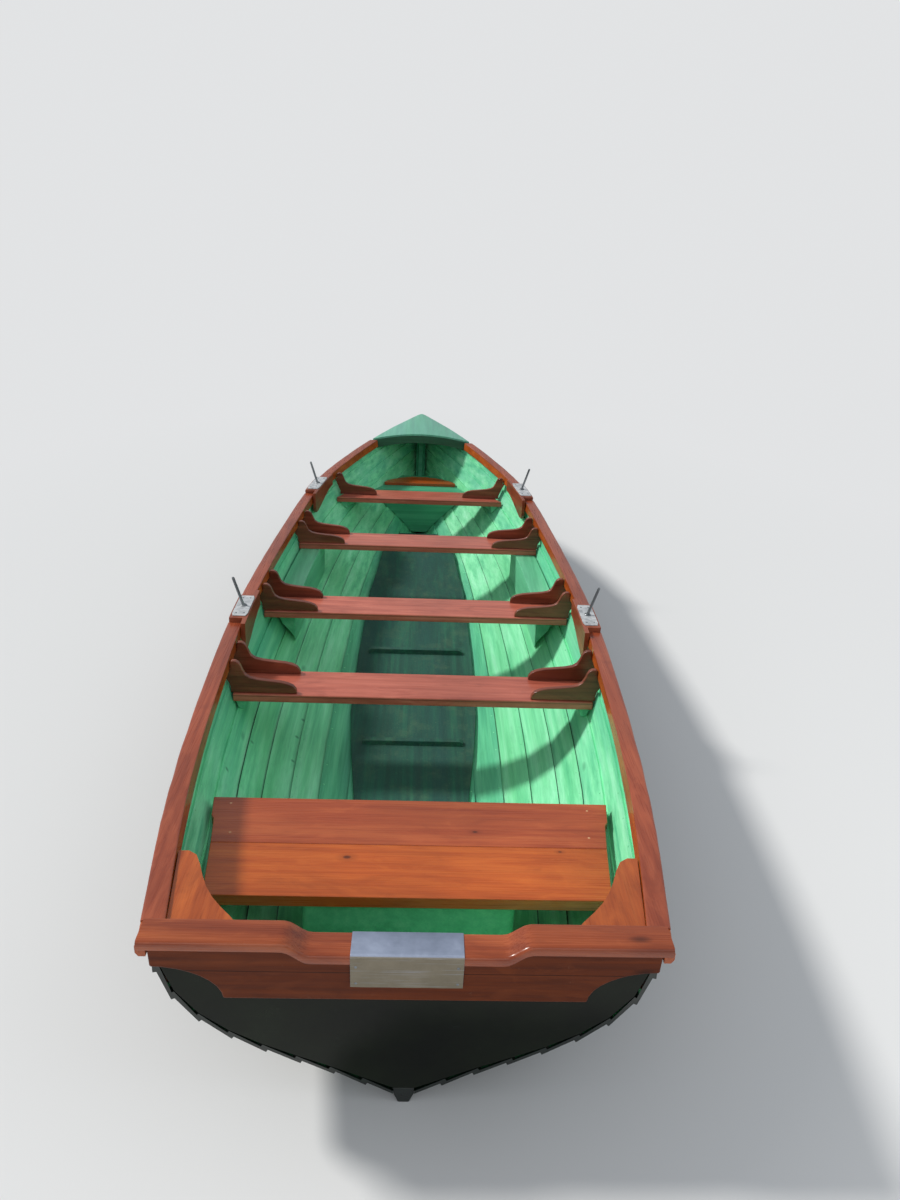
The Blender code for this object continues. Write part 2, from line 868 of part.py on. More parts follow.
def flat_board(name, aft, fore, top, thick, paint_key, end_gap=touch_gap * 2, slices=13):
    """A board from side to side whose ends follow the planking."""
    rings = []
    for index in range(slices):
        y = blend(aft, fore, index / (slices - 1))
        half_top = least_inside_x(y, top - thick, top) - end_gap
        rings.append([
            Vector((-half_top, y, top - thick)), Vector((half_top, y, top - thick)),
            Vector((half_top, y, top)), Vector((-half_top, y, top)),
        ])
    return add_solid(name, rings, paint_key)


def build_thwarts():
    for row in thwarts:
        aft, fore = row.aft, row.aft + row.width
        flat_board("thwart_" + row.name, aft, fore, row.top, thwart_thickness, "varnish")
        if row.name in ("aft", "fore"):
            for side_name, side in sides:
                cleat_low = row.top - thwart_thickness - touch_gap - cleat_depth
                build_side_block("cleat_" + row.name + "_" + side_name, side,
                                 aft + cleat_width / 2.0, fore - cleat_width / 2.0,
                                 cleat_low, cleat_low + cleat_depth, cleat_width)
        if row.knees == 2:
            inset = knee_inset + knee_thickness / 2.0
            places = [("_aft_edge", aft + inset), ("_fore_edge", fore - inset)]
        else:
            places = [("", aft + row.width * 0.4)]
        for word, y in places:
            for side_name, side in sides:
                build_knee("knee_" + row.name + word + "_" + side_name, side, y, row.top)


def build_side_block(name, side, aft, fore, low, high, width):
    """A block fast to the inside of the planking, rounded towards the keel."""
    rings = []
    slices = 9
    for index in range(slices):
        y = blend(aft, fore, index / (slices - 1))
        foot, head = leaning_face(y, low, high)
        rings.append([
            Vector((side * (foot - width * 0.45), y, low)), Vector((side * foot, y, low)),
            Vector((side * head, y, high)), Vector((side * (head - width), y, high)),
            Vector((side * (head - width), y, blend(low, high, 0.55))),
            Vector((side * (head - width * 0.85), y, blend(low, high, 0.22))),
        ])
    add_solid(name, rings, "green")


def build_knee(name, side, y, foot_z):
    """A wooden knee from the thwart's top up to the inside of the gunwale."""
    aft, fore = y - knee_thickness / 2.0, y + knee_thickness / 2.0
    sheer = min(sheer_at(aft)[1], sheer_at(fore)[1])
    low = foot_z + touch_gap
    shelf = min(inwale_bottom(aft), inwale_bottom(fore)) - knee_shelf_gap
    head = sheer - knee_head_drop
    samples = 6
    wall = []
    for index in range(samples):
        z = blend(low, shelf, index / (samples - 1))
        band = (shelf - low) / (samples - 1)
        bottom, top = max(z - band, low), min(z + band, shelf)
        x = min(least_inside_x(aft, bottom, top), least_inside_x(fore, bottom, top))
        wall.append((x - touch_gap, z))
    face = least_inwale_x(aft, fore, shelf, head) - touch_gap
    rise = head - low
    outline = wall + [(face, shelf), (face, head - rise * 0.04)]
    for spot in knee_profile_shares:
        outline.append((face - knee_reach * spot.across, low + rise * spot.height))
    outline.append((outline[-1][0], low))
    rings = [[Vector((side * x, where, z)) for x, z in outline] for where in (aft, fore)]
    add_solid(name, rings, "varnish")


def build_stern_seat():
    joint = seat_aft + seat_plank_width
    second = joint + seat_plank_joint
    places = [("aft", seat_aft, joint), ("fore", second, second + seat_plank_width)]
    for word, aft, fore in places:
        flat_board("seat_plank_" + word, aft, fore, seat_height, seat_thickness, "varnish", seat_end_gap)
    high = seat_height - seat_thickness - touch_gap
    low = high - bearer_height
    slices = 9
    for side_name, side in sides:
        rings = []
        for index in range(slices):
            y = blend(seat_aft - bearer_overrun, places[1][2] + bearer_overrun, index / (slices - 1))
            foot, head = leaning_face(y, low, high)
            rings.append([
                Vector((side * (foot - bearer_width), y, low)), Vector((side * foot, y, low)),
                Vector((side * head, y, high)), Vector((side * (head - bearer_width), y, high)),
            ])
        add_solid("seat_bearer_" + side_name, rings, "green")
    build_seat_box(places[0][1] + seat_box_setback, places[1][2] - seat_box_setback, high)


def build_seat_box(aft, fore, top):
    """A closed box under the stern seat with rounded upright corners, which stands on the planks."""
    flat = []
    turns = 5
    inner = seat_box_half - seat_box_corner
    for centre_x, centre_y, start in (
        (inner, fore - seat_box_corner, 0.0), (-inner, fore - seat_box_corner, 0.5),
        (-inner, aft + seat_box_corner, 1.0), (inner, aft + seat_box_corner, 1.5),
    ):
        for index in range(turns):
            turn = math.pi * (start + 0.5 * index / (turns - 1))
            across, forward = seat_box_corner * math.cos(turn), seat_box_corner * math.sin(turn)
            flat.append((centre_x + across, centre_y + forward))
    levels = []
    for x, y in flat:
        near = [bottom_z(min(abs(x) + step, seat_box_half), y + shift)
                for step in (0.0, probe_step) for shift in (-probe_step, 0.0, probe_step)]
        levels.append(max(near) + touch_gap * 2)
    low = max(levels)
    rings = [[Vector((x, y, level)) for x, y in flat] for level in (low, top)]
    add_solid("seat_box", rings, "green")


def floor_half(y):
    """Half width of the floor panel at a distance forward."""
    along = (y - floor_aft) / (floor_fore - floor_aft)
    first = [cut for cut in floor_cut_shares[:-1] if cut.along <= along + touch_gap / hull_length]
    first = first[-1] if first else floor_cut_shares[0]
    second = floor_cut_shares[floor_cut_shares.index(first) + 1]
    share = (along - first.along) / (second.along - first.along)
    return blend(first.half, second.half, share) * floor_half_width


def floor_level(y):
    """Height at which the panel's underside clears the planks near one cross-section."""
    step = (floor_fore - floor_aft) / floor_slices
    heights = []
    for part in range(-floor_looks, floor_looks + 1):
        near = min(max(y + step * part / floor_looks, floor_aft), floor_fore)
        half = floor_half(near)
        heights += [bottom_z(half * (index + 1) / floor_checks, near) for index in range(floor_checks)]
    return max(heights) + touch_gap * 2.5


def build_floor():
    """The floor panel with its two foot stretchers, made as one body."""
    stops = [blend(floor_aft, floor_fore, index / floor_slices) for index in range(floor_slices + 1)]
    levels = [floor_level(y) for y in stops]
    rings = []
    for y, z in zip(stops, levels):
        half = floor_half(y)
        rings.append([
            Vector((-half, y, z)), Vector((half, y, z)),
            Vector((half, y, z + floor_thickness)), Vector((-half, y, z + floor_thickness)),
        ])
    panel = add_solid("floor_panel", rings, "floor")
    for row in stretchers:
        spot = [index for index in range(floor_slices) if stops[index] <= row.along][-1]
        base = min(levels[spot], levels[spot + 1]) + floor_thickness * 0.5
        top = max(levels[spot], levels[spot + 1]) + floor_thickness + stretcher_height
        half = floor_half(row.along) - stretcher_inset
        rings = []
        for across, drop in ((-1.0, 0.6), (-0.93, 1.0), (0.93, 1.0), (1.0, 0.6)):
            ring = []
            for step, high in ((-0.5, 0.0), (0.5, 0.0), (0.38, 1.0), (-0.38, 1.0)):
                y = row.along + step * stretcher_width
                z = base + high * (top - base - stretcher_height * (1.0 - drop))
                ring.append(Vector((across * half, y, z)))
            rings.append(ring)
        stretcher = add_solid("stretcher_" + row.name, rings, "floor")
        join_solid(panel, stretcher)


def join_solid(keeper, extra):
    """Make a second body part of the first with a Boolean union."""
    extra.hide_render = True
    extra.display_type = "WIRE"
    union = keeper.modifiers.new(extra.name, "BOOLEAN")
    union.operation = "UNION"
    union.solver = "EXACT"
    union.object = extra


def build_side_boxes():
    """Closed boxes along the planks between the second thwart and the third."""
    aft = second_thwart_edge + thwart_width * 0.75
    fore = third_thwart_edge + thwart_width * 0.6
    top_aft = second_thwart_height - thwart_thickness - touch_gap
    top_fore = third_thwart_height - thwart_thickness - touch_gap
    slices = 15
    level_end = second_thwart_edge + thwart_width * 1.35
    for side_name, side in sides:
        rings = []
        for index in range(slices):
            y = blend(aft, fore, index / (slices - 1))
            rise = min(max((y - level_end) / (third_thwart_edge - level_end), 0.0), 1.0)
            high = blend(top_aft, top_fore, rise)
            inner = inside_x(y, high) - box_width
            low = max(bottom_z(inner + probe_step * step, y) for step in (0.0, 1.0, 2.0)) + box_wall_gap
            ring = [Vector((side * inner, y, high)), Vector((side * inner, y, low))]
            for sample in range(1, box_samples):
                z = blend(low, high, sample / (box_samples - 1))
                band = (high - low) / (box_samples - 1)
                x = least_inside_x(y, max(z - band, low), min(z + band, high)) - touch_gap * 2
                ring.append(Vector((side * max(x, inner + box_wall_gap * sample), y, z)))
            rings.append(ring)
        add_solid("side_box_" + side_name, rings, "green")


def build_bow_tank():
    rings = []
    slices = 21
    for index in range(slices):
        y = blend(tank_aft, tank_fore, index / (slices - 1))
        half = ledge_outline(y, tank_strakes, tank_top)
        ring = [Vector((x, y, z)) for x, z in half]
        ring += [Vector((-x, y, z)) for x, z in reversed(half)]
        rings.append(ring)
    add_solid("bow_tank", rings, "green", len(half))
    rings = []
    low, high = tank_top + touch_gap, tank_top + touch_gap + bow_seat_thickness
    aft_half = least_inside_x(bow_seat_aft, low, high) - bow_seat_gap
    for spot in bow_seat_shares:
        y = blend(bow_seat_aft, bow_seat_fore, spot.along)
        half = min(aft_half * spot.half, least_inside_x(y, low, high) - bow_seat_gap)
        rings.append([
            Vector((-half, y, low)), Vector((half, y, low)),
            Vector((half, y, high)), Vector((-half, y, high)),
        ])
    add_solid("bow_seat", rings, "varnish")


def deck_section(along):
    """Half width, edge height and camber of the deck's underside at one share of the length."""
    outer = line_point(along, 1.0, plank_thickness)
    inner = line_point(along, 1.0, 0.0)
    half = outer[0] + deck_overhang
    first = line_point(deck_aft_share, 1.0, plank_thickness)[0] + deck_overhang
    camber = deck_camber * min(half / first, 1.0)
    base = max(z - camber * deck_chord(x / half) for x, z in (outer, inner)) + touch_gap * 2
    return half, base, camber


def build_foredeck():
    shares = [deck_aft_share] + [along for along in place_shares() if along > deck_aft_share]
    rings = []
    for along in shares:
        half, base, camber = deck_section(along)
        ring = []
        for level, order in ((0.0, 1.0), (deck_thickness, -1.0)):
            for step in range(deck_steps + 1):
                across = order * (1.0 - 2.0 * step / deck_steps)
                rise = camber * (1.0 - across ** 2)
                ring.append(place(along, half * across, base) + Vector((0.0, 0.0, rise + level)))
        rings.append(ring)
    lift = Vector((0.0, stem_outer * 0.9, 0.0))
    rings.append([Vector((point.x * 0.5, point.y, point.z)) + lift for point in rings[-1]])
    add_solid("foredeck", rings, "deck")
    build_deck_beam()


def build_deck_beam():
    """An arched beam close under the deck's aft edge."""
    half, base, camber = deck_section(deck_aft_share)
    start = place(deck_aft_share, 0.0, base).y + touch_gap * 2
    rings = []
    for y in (start, start + beam_thickness):
        along = sheer_at(y)[0]
        half, base, camber = deck_section(along)
        edge = base - touch_gap
        room_high = least_inside_x(y, edge - beam_depth * 0.5, edge - touch_gap * 4) - touch_gap * 2
        room_low = least_inside_x(y, edge - beam_depth, edge - beam_depth * 0.5) - touch_gap * 2
        room_low = min(room_high, room_low)
        top, bottom = [], []
        for step in range(deck_steps + 1):
            across = 1.0 - 2.0 * step / deck_steps
            chord = deck_chord(room_high * across / half) * camber
            high = edge + chord
            top.append(Vector((room_high * across, y, high)))
            low = edge + camber * (1.0 - across ** 2) - beam_depth
            bottom.append(Vector((room_low * across, y, low)))
        rings.append(top + bottom[::-1])
    add_solid("deck_beam", rings, "deck")


def deck_chord(across):
    """Share of the camber at a share across the deck, on the deck's straight facets."""
    spot = (1.0 - across) / 2.0 * deck_steps
    index = min(max(int(spot), 0), deck_steps - 1)
    ends = [1.0 - (1.0 - 2.0 * step / deck_steps) ** 2 for step in (index, index + 1)]
    return blend(ends[0], ends[1], spot - index)


def rowlock_stop(y):
    """Inner face, outer edge and shelf height of the gunwale where a rowlock sits."""
    along, z, x = sheer_at(y)
    face = least_inwale_x(y - probe_step, y + probe_step, z - inwale_depth, z) - touch_gap * 3
    outer = gunwale_places(along)[3].x + outwale_width * 0.9
    return face, outer, z + gunwale_crown + touch_gap * 2


def build_rowlock(row, side_name, side):
    """A block over the gunwale with its inner pad, and the plate with its pin."""
    block_share = (1.0 - rowlock_block_length / rowlock_pad_length) / 2.0
    stops = sorted(set([cut.along for cut in pad_cut_shares] + [block_share, 1.0 - block_share]))
    columns = []
    for along in stops:
        y = row.along + rowlock_pad_length * (along - 0.5)
        face, outer, shelf = rowlock_stop(y)
        high = shelf + rowlock_block_height
        low = sheer_at(y)[1] - rowlock_pad_depth * pad_depth(along)
        columns.append([Vector((side * x, y, z)) for x, z in (
            (face - rowlock_pad_thickness, low), (face, low), (face, shelf), (face, high),
            (face - rowlock_pad_thickness, high), (outer, shelf), (outer, high),
        )])
    first = stops.index(block_share)
    last = stops.index(1.0 - block_share)
    shape = bmesh.new()
    made = [[shape.verts.new(point) for point in column[:5]] for column in columns]
    arms = {}
    for index in range(first, last + 1):
        arms[index] = [shape.verts.new(point) for point in columns[index][5:]]
    for part in range(len(columns) - 1):
        here, there = made[part], made[part + 1]
        for index in range(5):
            if index == 2 and first <= part < last:
                continue
            follow = (index + 1) % 5
            shape.faces.new((here[index], here[follow], there[follow], there[index]))
        if first <= part < last:
            near, far = arms[part], arms[part + 1]
            shape.faces.new((here[2], near[0], far[0], there[2]))
            shape.faces.new((near[0], near[1], far[1], far[0]))
            shape.faces.new((near[1], here[3], there[3], far[1]))
    shape.faces.new(made[0])
    shape.faces.new(made[-1])
    for index in (first, last):
        shape.faces.new((made[index][2], made[index][3], arms[index][1], arms[index][0]))
    bmesh.ops.triangulate(shape, faces=shape.faces[:])
    finish_shape("rowlock_block_" + row.name + "_" + side_name, shape, "varnish")
    build_rowlock_plate(row, side_name, side)


def pad_depth(along):
    """Share of the pad's depth at a share of its length."""
    for first, second in zip(pad_cut_shares, pad_cut_shares[1:]):
        if along <= second.along:
            return blend(first.depth, second.depth, (along - first.along) / (second.along - first.along))
    return pad_cut_shares[-1].depth


def build_rowlock_plate(row, side_name, side):
    """A flat plate with a round pin standing at its middle, as one closed body."""
    aft = row.along - rowlock_plate_length / 2.0
    fore = row.along + rowlock_plate_length / 2.0
    ends = [rowlock_stop(row.along + rowlock_block_length * step) for step in (-0.5, 0.5)]
    corners = []
    for y, edge in ((aft, "in"), (fore, "in"), (fore, "out"), (aft, "out")):
        share = (y - row.along) / rowlock_block_length + 0.5
        face, outer, shelf = [blend(first, second, share) for first, second in zip(*ends)]
        inner = face - rowlock_pad_thickness + rowlock_plate_inset
        outer -= rowlock_plate_inset
        top = shelf + rowlock_block_height + touch_gap
        corners.append(Vector((side * (inner if edge == "in" else outer), y, top)))
    middle = sum(corners, Vector()) / 4.0
    lift = Vector((0.0, 0.0, rowlock_plate_thickness))
    shape = bmesh.new()
    low = [shape.verts.new(point) for point in corners]
    high = [shape.verts.new(point + lift) for point in corners]
    for index in range(4):
        follow = (index + 1) % 4
        shape.faces.new((low[index], low[follow], high[follow], high[index]))
    shape.faces.new(low)
    circle, cap = [], []
    for index in range(pin_sides):
        turn = math.pi * 2.0 * index / pin_sides
        round_point = Vector((pin_radius * math.cos(turn), pin_radius * math.sin(turn), 0.0))
        circle.append(shape.verts.new(middle + lift + round_point))
        cap.append(shape.verts.new(middle + lift + round_point + Vector((0.0, 0.0, pin_height))))
    for index in range(pin_sides):
        follow = (index + 1) % pin_sides
        shape.faces.new((circle[index], circle[follow], cap[follow], cap[index]))
    shape.faces.new(cap)
    order = sorted(range(4), key=lambda i: math.atan2(high[i].co.y - middle.y, high[i].co.x - middle.x))
    quarter = pin_sides // 4
    picks = []
    for index in order:
        flat = high[index].co - middle
        turn = math.atan2(flat.y, flat.x) % (math.pi * 2.0)
        picks.append((round(turn / (math.pi * 2.0) * pin_sides) % pin_sides, index))
    picks.sort()
    for place_index, (spot, corner) in enumerate(picks):
        next_spot, next_corner = picks[(place_index + 1) % 4]
        span = (next_spot - spot) % pin_sides
        fan = [circle[(spot + step) % pin_sides] for step in range(span + 1)]
        shape.faces.new([high[corner]] + fan + [high[next_corner]])
    wide = [face for face in shape.faces if len(face.verts) > 4]
    for face in wide:
        face.normal_update()
    bmesh.ops.triangulate(shape, faces=wide, quad_method="FIXED", ngon_method="EAR_CLIP")
    finish_shape("rowlock_plate_" + row.name + "_" + side_name, shape, "galvanised")


def hull_bvh(things):
    points, faces = [], []
    for thing in things:
        start = len(points)
        thing.data.calc_loop_triangles()
        points += [vertex.co.copy() for vertex in thing.data.vertices]
        for triangle in thing.data.loop_triangles:
            faces.append(tuple(start + index for index in triangle.vertices))
    return BVHTree.FromPolygons(points, faces)


def settle_origin():
    """Put the origin at the middle of the overall box, on the ground."""
    points = [vertex.co for thing in bpy.data.objects for vertex in thing.data.vertices]
    middle_x = (min(point.x for point in points) + max(point.x for point in points)) / 2.0
    middle_y = (min(point.y for point in points) + max(point.y for point in points)) / 2.0
    low = min(point.z for point in points)
    shift = Vector((-middle_x, -middle_y, -low))
    for thing in bpy.data.objects:
        for vertex in thing.data.vertices:
            vertex.co = vertex.co + shift


clear_scene()
planking = build_planking()
hull_tree = hull_bvh(planking)
build_keel()
build_stem()
build_transom()
gunwale_tree = hull_bvh(build_gunwales())
build_quarter_knees()
build_thwarts()
build_stern_seat()
build_floor()
build_side_boxes()
build_bow_tank()
build_foredeck()
for rowlock in rowlocks:
    for side_word, side_sign in sides:
        build_rowlock(rowlock, side_word, side_sign)
settle_origin()
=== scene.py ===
import math

import bmesh
import bpy
from mathutils import Matrix, Vector
from mathutils.bvhtree import BVHTree


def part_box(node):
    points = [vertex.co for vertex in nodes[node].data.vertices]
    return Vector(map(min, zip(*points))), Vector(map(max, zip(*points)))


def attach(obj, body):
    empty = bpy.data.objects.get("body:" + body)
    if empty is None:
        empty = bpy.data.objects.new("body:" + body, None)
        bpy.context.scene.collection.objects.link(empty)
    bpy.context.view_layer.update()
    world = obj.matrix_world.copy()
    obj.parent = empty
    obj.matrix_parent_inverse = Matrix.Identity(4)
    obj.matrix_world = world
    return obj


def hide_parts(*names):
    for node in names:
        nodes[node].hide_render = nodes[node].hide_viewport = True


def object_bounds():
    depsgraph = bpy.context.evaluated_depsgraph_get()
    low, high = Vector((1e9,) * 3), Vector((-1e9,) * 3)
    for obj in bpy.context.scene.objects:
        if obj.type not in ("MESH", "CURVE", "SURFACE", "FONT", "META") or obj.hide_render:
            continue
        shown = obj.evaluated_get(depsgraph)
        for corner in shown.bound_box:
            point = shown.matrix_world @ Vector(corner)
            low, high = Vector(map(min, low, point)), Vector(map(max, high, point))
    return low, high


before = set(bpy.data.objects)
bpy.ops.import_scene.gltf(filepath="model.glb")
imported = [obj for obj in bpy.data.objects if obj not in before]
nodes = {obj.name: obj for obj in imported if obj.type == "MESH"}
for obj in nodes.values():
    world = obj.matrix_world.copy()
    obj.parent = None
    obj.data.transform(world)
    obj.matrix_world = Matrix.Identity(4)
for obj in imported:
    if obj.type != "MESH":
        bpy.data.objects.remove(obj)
cad_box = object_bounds()

X, Y, Z = 0, 1, 2
UP, DOWN = Vector((0.0, 0.0, 1.0)), Vector((0.0, 0.0, -1.0))
FORE, AFT = Vector((0.0, 1.0, 0.0)), Vector((0.0, -1.0, 0.0))
SIDES = ((1.0, "starboard"), (-1.0, "port"))
BANDS = ("lower", "middle", "upper")
PLANKS = ["%s_planking_%s" % (band, word) for band in BANDS for _, word in SIDES]

# Casts start clear of the boat: this far out to the side, this far up and this far off either end
FAR_SIDE, FAR_UP, FAR_END = 1.4, 1.3, 6.0

# The picture's camera, measured from the aft edge of the transom's top; pixels are the photograph's
PHOTO_WIDTH, PHOTO_HEIGHT = 900.0, 1200.0
FOCAL_PIXELS = 912.4
SENSOR = 36.0
pad_low, pad_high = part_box("transom_outer_pad")
CAMERA_PLACE = (-0.004, pad_low[Y] + 0.030 - 1.778, 2.331)
CAMERA_PITCH, CAMERA_ROLL, CAMERA_YAW = [math.radians(angle) for angle in (22.87, 2.53, 2.31)]

BACKDROP = (0.76, 0.77, 0.78)
FLOOR_TONE = (0.69, 0.70, 0.71)
FLOOR_FADE = (2.0, 4.6)
WORLD_TONE = (0.90, 0.95, 1.0)
WORLD_LEVEL = 0.50
SUN_WAY = (-1.0, 0.30, 0.95)
SUN_TONE = (1.0, 0.965, 0.91)
SUN_LEVEL = 2.8
SUN_SPREAD = 8.0


def tree_of(*names):
    """Ray-cast tree of the loaded shapes of some nodes."""
    corners, faces = [], []
    for name in names:
        mesh = nodes[name].data
        start = len(corners)
        corners.extend(nodes[name].matrix_world @ corner.co for corner in mesh.vertices)
        faces.extend([start + index for index in face.vertices] for face in mesh.polygons)
    return BVHTree.FromPolygons(corners, faces)


def cast(tree, start, way):
    """The first place on a tree's shapes from a start along a way, or None."""
    return tree.ray_cast(Vector(start), Vector(way))[0]


def camera_axes():
    """Forward, right and up of the picture's camera."""
    forward = Vector((
        math.sin(CAMERA_YAW) * math.cos(CAMERA_PITCH),
        math.cos(CAMERA_YAW) * math.cos(CAMERA_PITCH),
        -math.sin(CAMERA_PITCH),
    ))
    level = Vector((math.cos(CAMERA_YAW), -math.sin(CAMERA_YAW), 0.0))
    upright = level.cross(forward)
    right = math.cos(CAMERA_ROLL) * level + math.sin(CAMERA_ROLL) * upright
    up = -math.sin(CAMERA_ROLL) * level + math.cos(CAMERA_ROLL) * upright
    return forward, right, up


def pixel_way(column, row):
    """The way from the camera through a pixel of the photograph."""
    forward, right, up = camera_axes()
    return forward * FOCAL_PIXELS + right * (column - PHOTO_WIDTH / 2.0) - up * (row - PHOTO_HEIGHT / 2.0)


def seen_on(tree, column, row):
    """The place on a tree's shapes that the camera sees at a pixel."""
    return cast(tree, CAMERA_PLACE, pixel_way(column, row).normalized())


def seen_at(column, row, height):
    """The place at a height that the camera sees at a pixel."""
    start, way = Vector(CAMERA_PLACE), pixel_way(column, row)
    return start + way * ((height - start.z) / way.z)


def add_object(name, data):
    made = bpy.data.objects.new(name, data)
    bpy.context.scene.collection.objects.link(made)
    return made


def add_camera():
    forward, right, up = camera_axes()
    data = bpy.data.cameras.new("camera")
    data.sensor_fit = "AUTO"
    data.sensor_width = SENSOR
    data.lens = FOCAL_PIXELS / PHOTO_HEIGHT * SENSOR
    data.clip_end = 200.0
    camera = add_object("camera", data)
    turn = Matrix((right, up, -forward)).transposed()
    camera.matrix_world = Matrix.Translation(Vector(CAMERA_PLACE)) @ turn.to_4x4()
    bpy.context.scene.camera = camera


def add_sun():
    data = bpy.data.lights.new("key", "SUN")
    data.energy, data.color = SUN_LEVEL, SUN_TONE
    data.angle = math.radians(SUN_SPREAD)
    lamp = add_object("key", data)
    lamp.rotation_euler = Vector(SUN_WAY).to_track_quat("Z", "Y").to_euler()


def add_area(name, place, target, size, power, colour):
    data = bpy.data.lights.new(name, "AREA")
    data.shape = "RECTANGLE"
    data.size, data.size_y = size
    data.energy, data.color = power, colour
    lamp = add_object(name, data)
    lamp.location = place
    lamp.rotation_euler = (Vector(target) - Vector(place)).to_track_quat("-Z", "Y").to_euler()


def srgb(text):
    """Linear colour from a six-figure web colour."""
    parts = [int(text[index:index + 2], 16) / 255.0 for index in (0, 2, 4)]
    return tuple(part / 12.92 if part <= 0.04045 else ((part + 0.055) / 1.055) ** 2.4 for part in parts)


def scaled(colour, factor):
    return tuple(part * factor for part in colour)


def along_grain(grain, across, lengthways):
    """Scales for the three axes, with one of its own along the grain."""
    stretch = [across] * 3
    stretch[grain] = lengthways
    return tuple(stretch)


class Graph:
    """Short calls for making one material's node tree; textures are drawn in a shifted object space."""

    def __init__(self, name, rough=0.5, metal=0.0, coat=0.0, coat_rough=0.1, level=0.5, shift=(0, 0, 0)):
        self.material = bpy.data.materials.new(name)
        self.material.use_nodes = True
        self.tree = self.material.node_tree
        self.shader = self.tree.nodes["Principled BSDF"]
        self.shift = shift
        for key, value in (("Roughness", rough), ("Metallic", metal), ("Coat Weight", coat),
                           ("Coat Roughness", coat_rough), ("Specular IOR Level", level)):
            self.fill(self.shader.inputs[key], value)
        self.coords = self.tree.nodes.new("ShaderNodeTexCoord")

    def fill(self, socket, value):
        """Links an input to an output, or sets it; a colour has three parts."""
        if isinstance(value, bpy.types.NodeSocket):
            self.tree.links.new(value, socket)
        elif socket.type == "RGBA":
            socket.default_value = (*value, 1.0)
        else:
            socket.default_value = value

    def node(self, kind, inputs=None, **values):
        made = self.tree.nodes.new(kind)
        for key, value in values.items():
            setattr(made, key, value)
        for key, value in (inputs or {}).items():
            self.fill(made.inputs[key], value)
        return made

    def parts(self, output):
        """X, Y and Z of the place or the normal in object space."""
        return self.node("ShaderNodeSeparateXYZ", {0: self.coords.outputs[output]}).outputs

    def space(self, scale, offset=(0, 0, 0)):
        made = self.node("ShaderNodeMapping", {
            "Vector": self.coords.outputs["Object"], "Scale": scale, "Location": offset})
        return made.outputs["Vector"]

    def noise(self, scale, detail, rough=0.5, twist=0.0):
        made = self.node("ShaderNodeTexNoise", {
            "Vector": self.space(scale, self.shift), "Scale": 1.0,
            "Detail": detail, "Roughness": rough, "Distortion": twist})
        return made.outputs["Fac"]

    def wave(self, scale, rings, twist, detail):
        made = self.node("ShaderNodeTexWave", {
            "Vector": self.space(scale, self.shift), "Scale": rings,
            "Distortion": twist, "Detail": detail, "Detail Scale": 1.4,
        }, wave_type="BANDS", bands_direction="DIAGONAL")
        return made.outputs["Fac"]

    def cells(self, scale, size=1.0):
        """Distance to the nearest of some scattered points, and a random value of that point."""
        made = self.node("ShaderNodeTexVoronoi", {"Vector": self.space(scale, self.shift), "Scale": size})
        split = self.node("ShaderNodeSeparateColor", {0: made.outputs["Color"]})
        return made.outputs["Distance"], split.outputs[0]

    def ramp(self, factor, stops):
        made = self.node("ShaderNodeValToRGB", {"Fac": factor})
        while len(made.color_ramp.elements) < len(stops):
            made.color_ramp.elements.new(0.5)
        for element, (place, colour) in zip(made.color_ramp.elements, stops):
            element.position = place
            element.color = (*colour, 1.0)
        return made.outputs["Color"]

    def mix(self, factor, first, second, blend="MIX", kind="RGBA"):
        made = self.node("ShaderNodeMix", data_type=kind, blend_type=blend)
        for socket, value in zip([s for s in made.inputs if s.enabled], (factor, first, second)):
            self.fill(socket, value)
        return [s for s in made.outputs if s.enabled][0]

    def map(self, factor, low, high, new_low, new_high):
        made = self.node("ShaderNodeMapRange", {
            "Value": factor, "From Min": low, "From Max": high, "To Min": new_low, "To Max": new_high})
        return made.outputs["Result"]

    def math(self, operation, first, second=0.0):
        return self.node("ShaderNodeMath", {0: first, 1: second}, operation=operation).outputs[0]

    def lay(self, base, factor, low, high, share, tone):
        """A tone over the base, up to a share of it as the factor rises from low to high."""
        return self.mix(self.map(factor, low, high, 0.0, share), base, tone)

    def tint(self, base, factor, first, second):
        """The base times a colour that goes from a first stop to a second."""
        return self.mix(1.0, base, self.ramp(factor, [first, second]), "MULTIPLY")

    def knots(self, scale, share, size):
        """Mask of scattered round knots, of which a share of the points keep theirs."""
        distance, chance = self.cells(scale)
        kept = self.math("GREATER_THAN", chance, 1.0 - share)
        return self.math("MULTIPLY", self.map(distance, size * 0.35, size, 1.0, 0.0), kept)

    def around(self, spot, stretch, noise, ripple):
        """Distance from one spot, made uneven by a noise."""
        centre = [value * part for value, part in zip(spot, stretch)]
        away = self.node("ShaderNodeVectorMath", {0: self.space(stretch), 1: centre}, operation="DISTANCE")
        uneven = self.math("MULTIPLY", self.math("SUBTRACT", noise, 0.5), ripple)
        return self.math("ADD", away.outputs["Value"], uneven)

    def done(self, base, rough, height, strength, distance):
        """Links the colour, the roughness and the bump, and gives the material."""
        bump = self.node("ShaderNodeBump", {"Height": height, "Strength": strength, "Distance": distance})
        for key, value in (("Base Color", base), ("Roughness", rough), ("Normal", bump.outputs["Normal"])):
            self.fill(self.shader.inputs[key], value)
        return self.material


JOINT_WIDTH = 0.0016


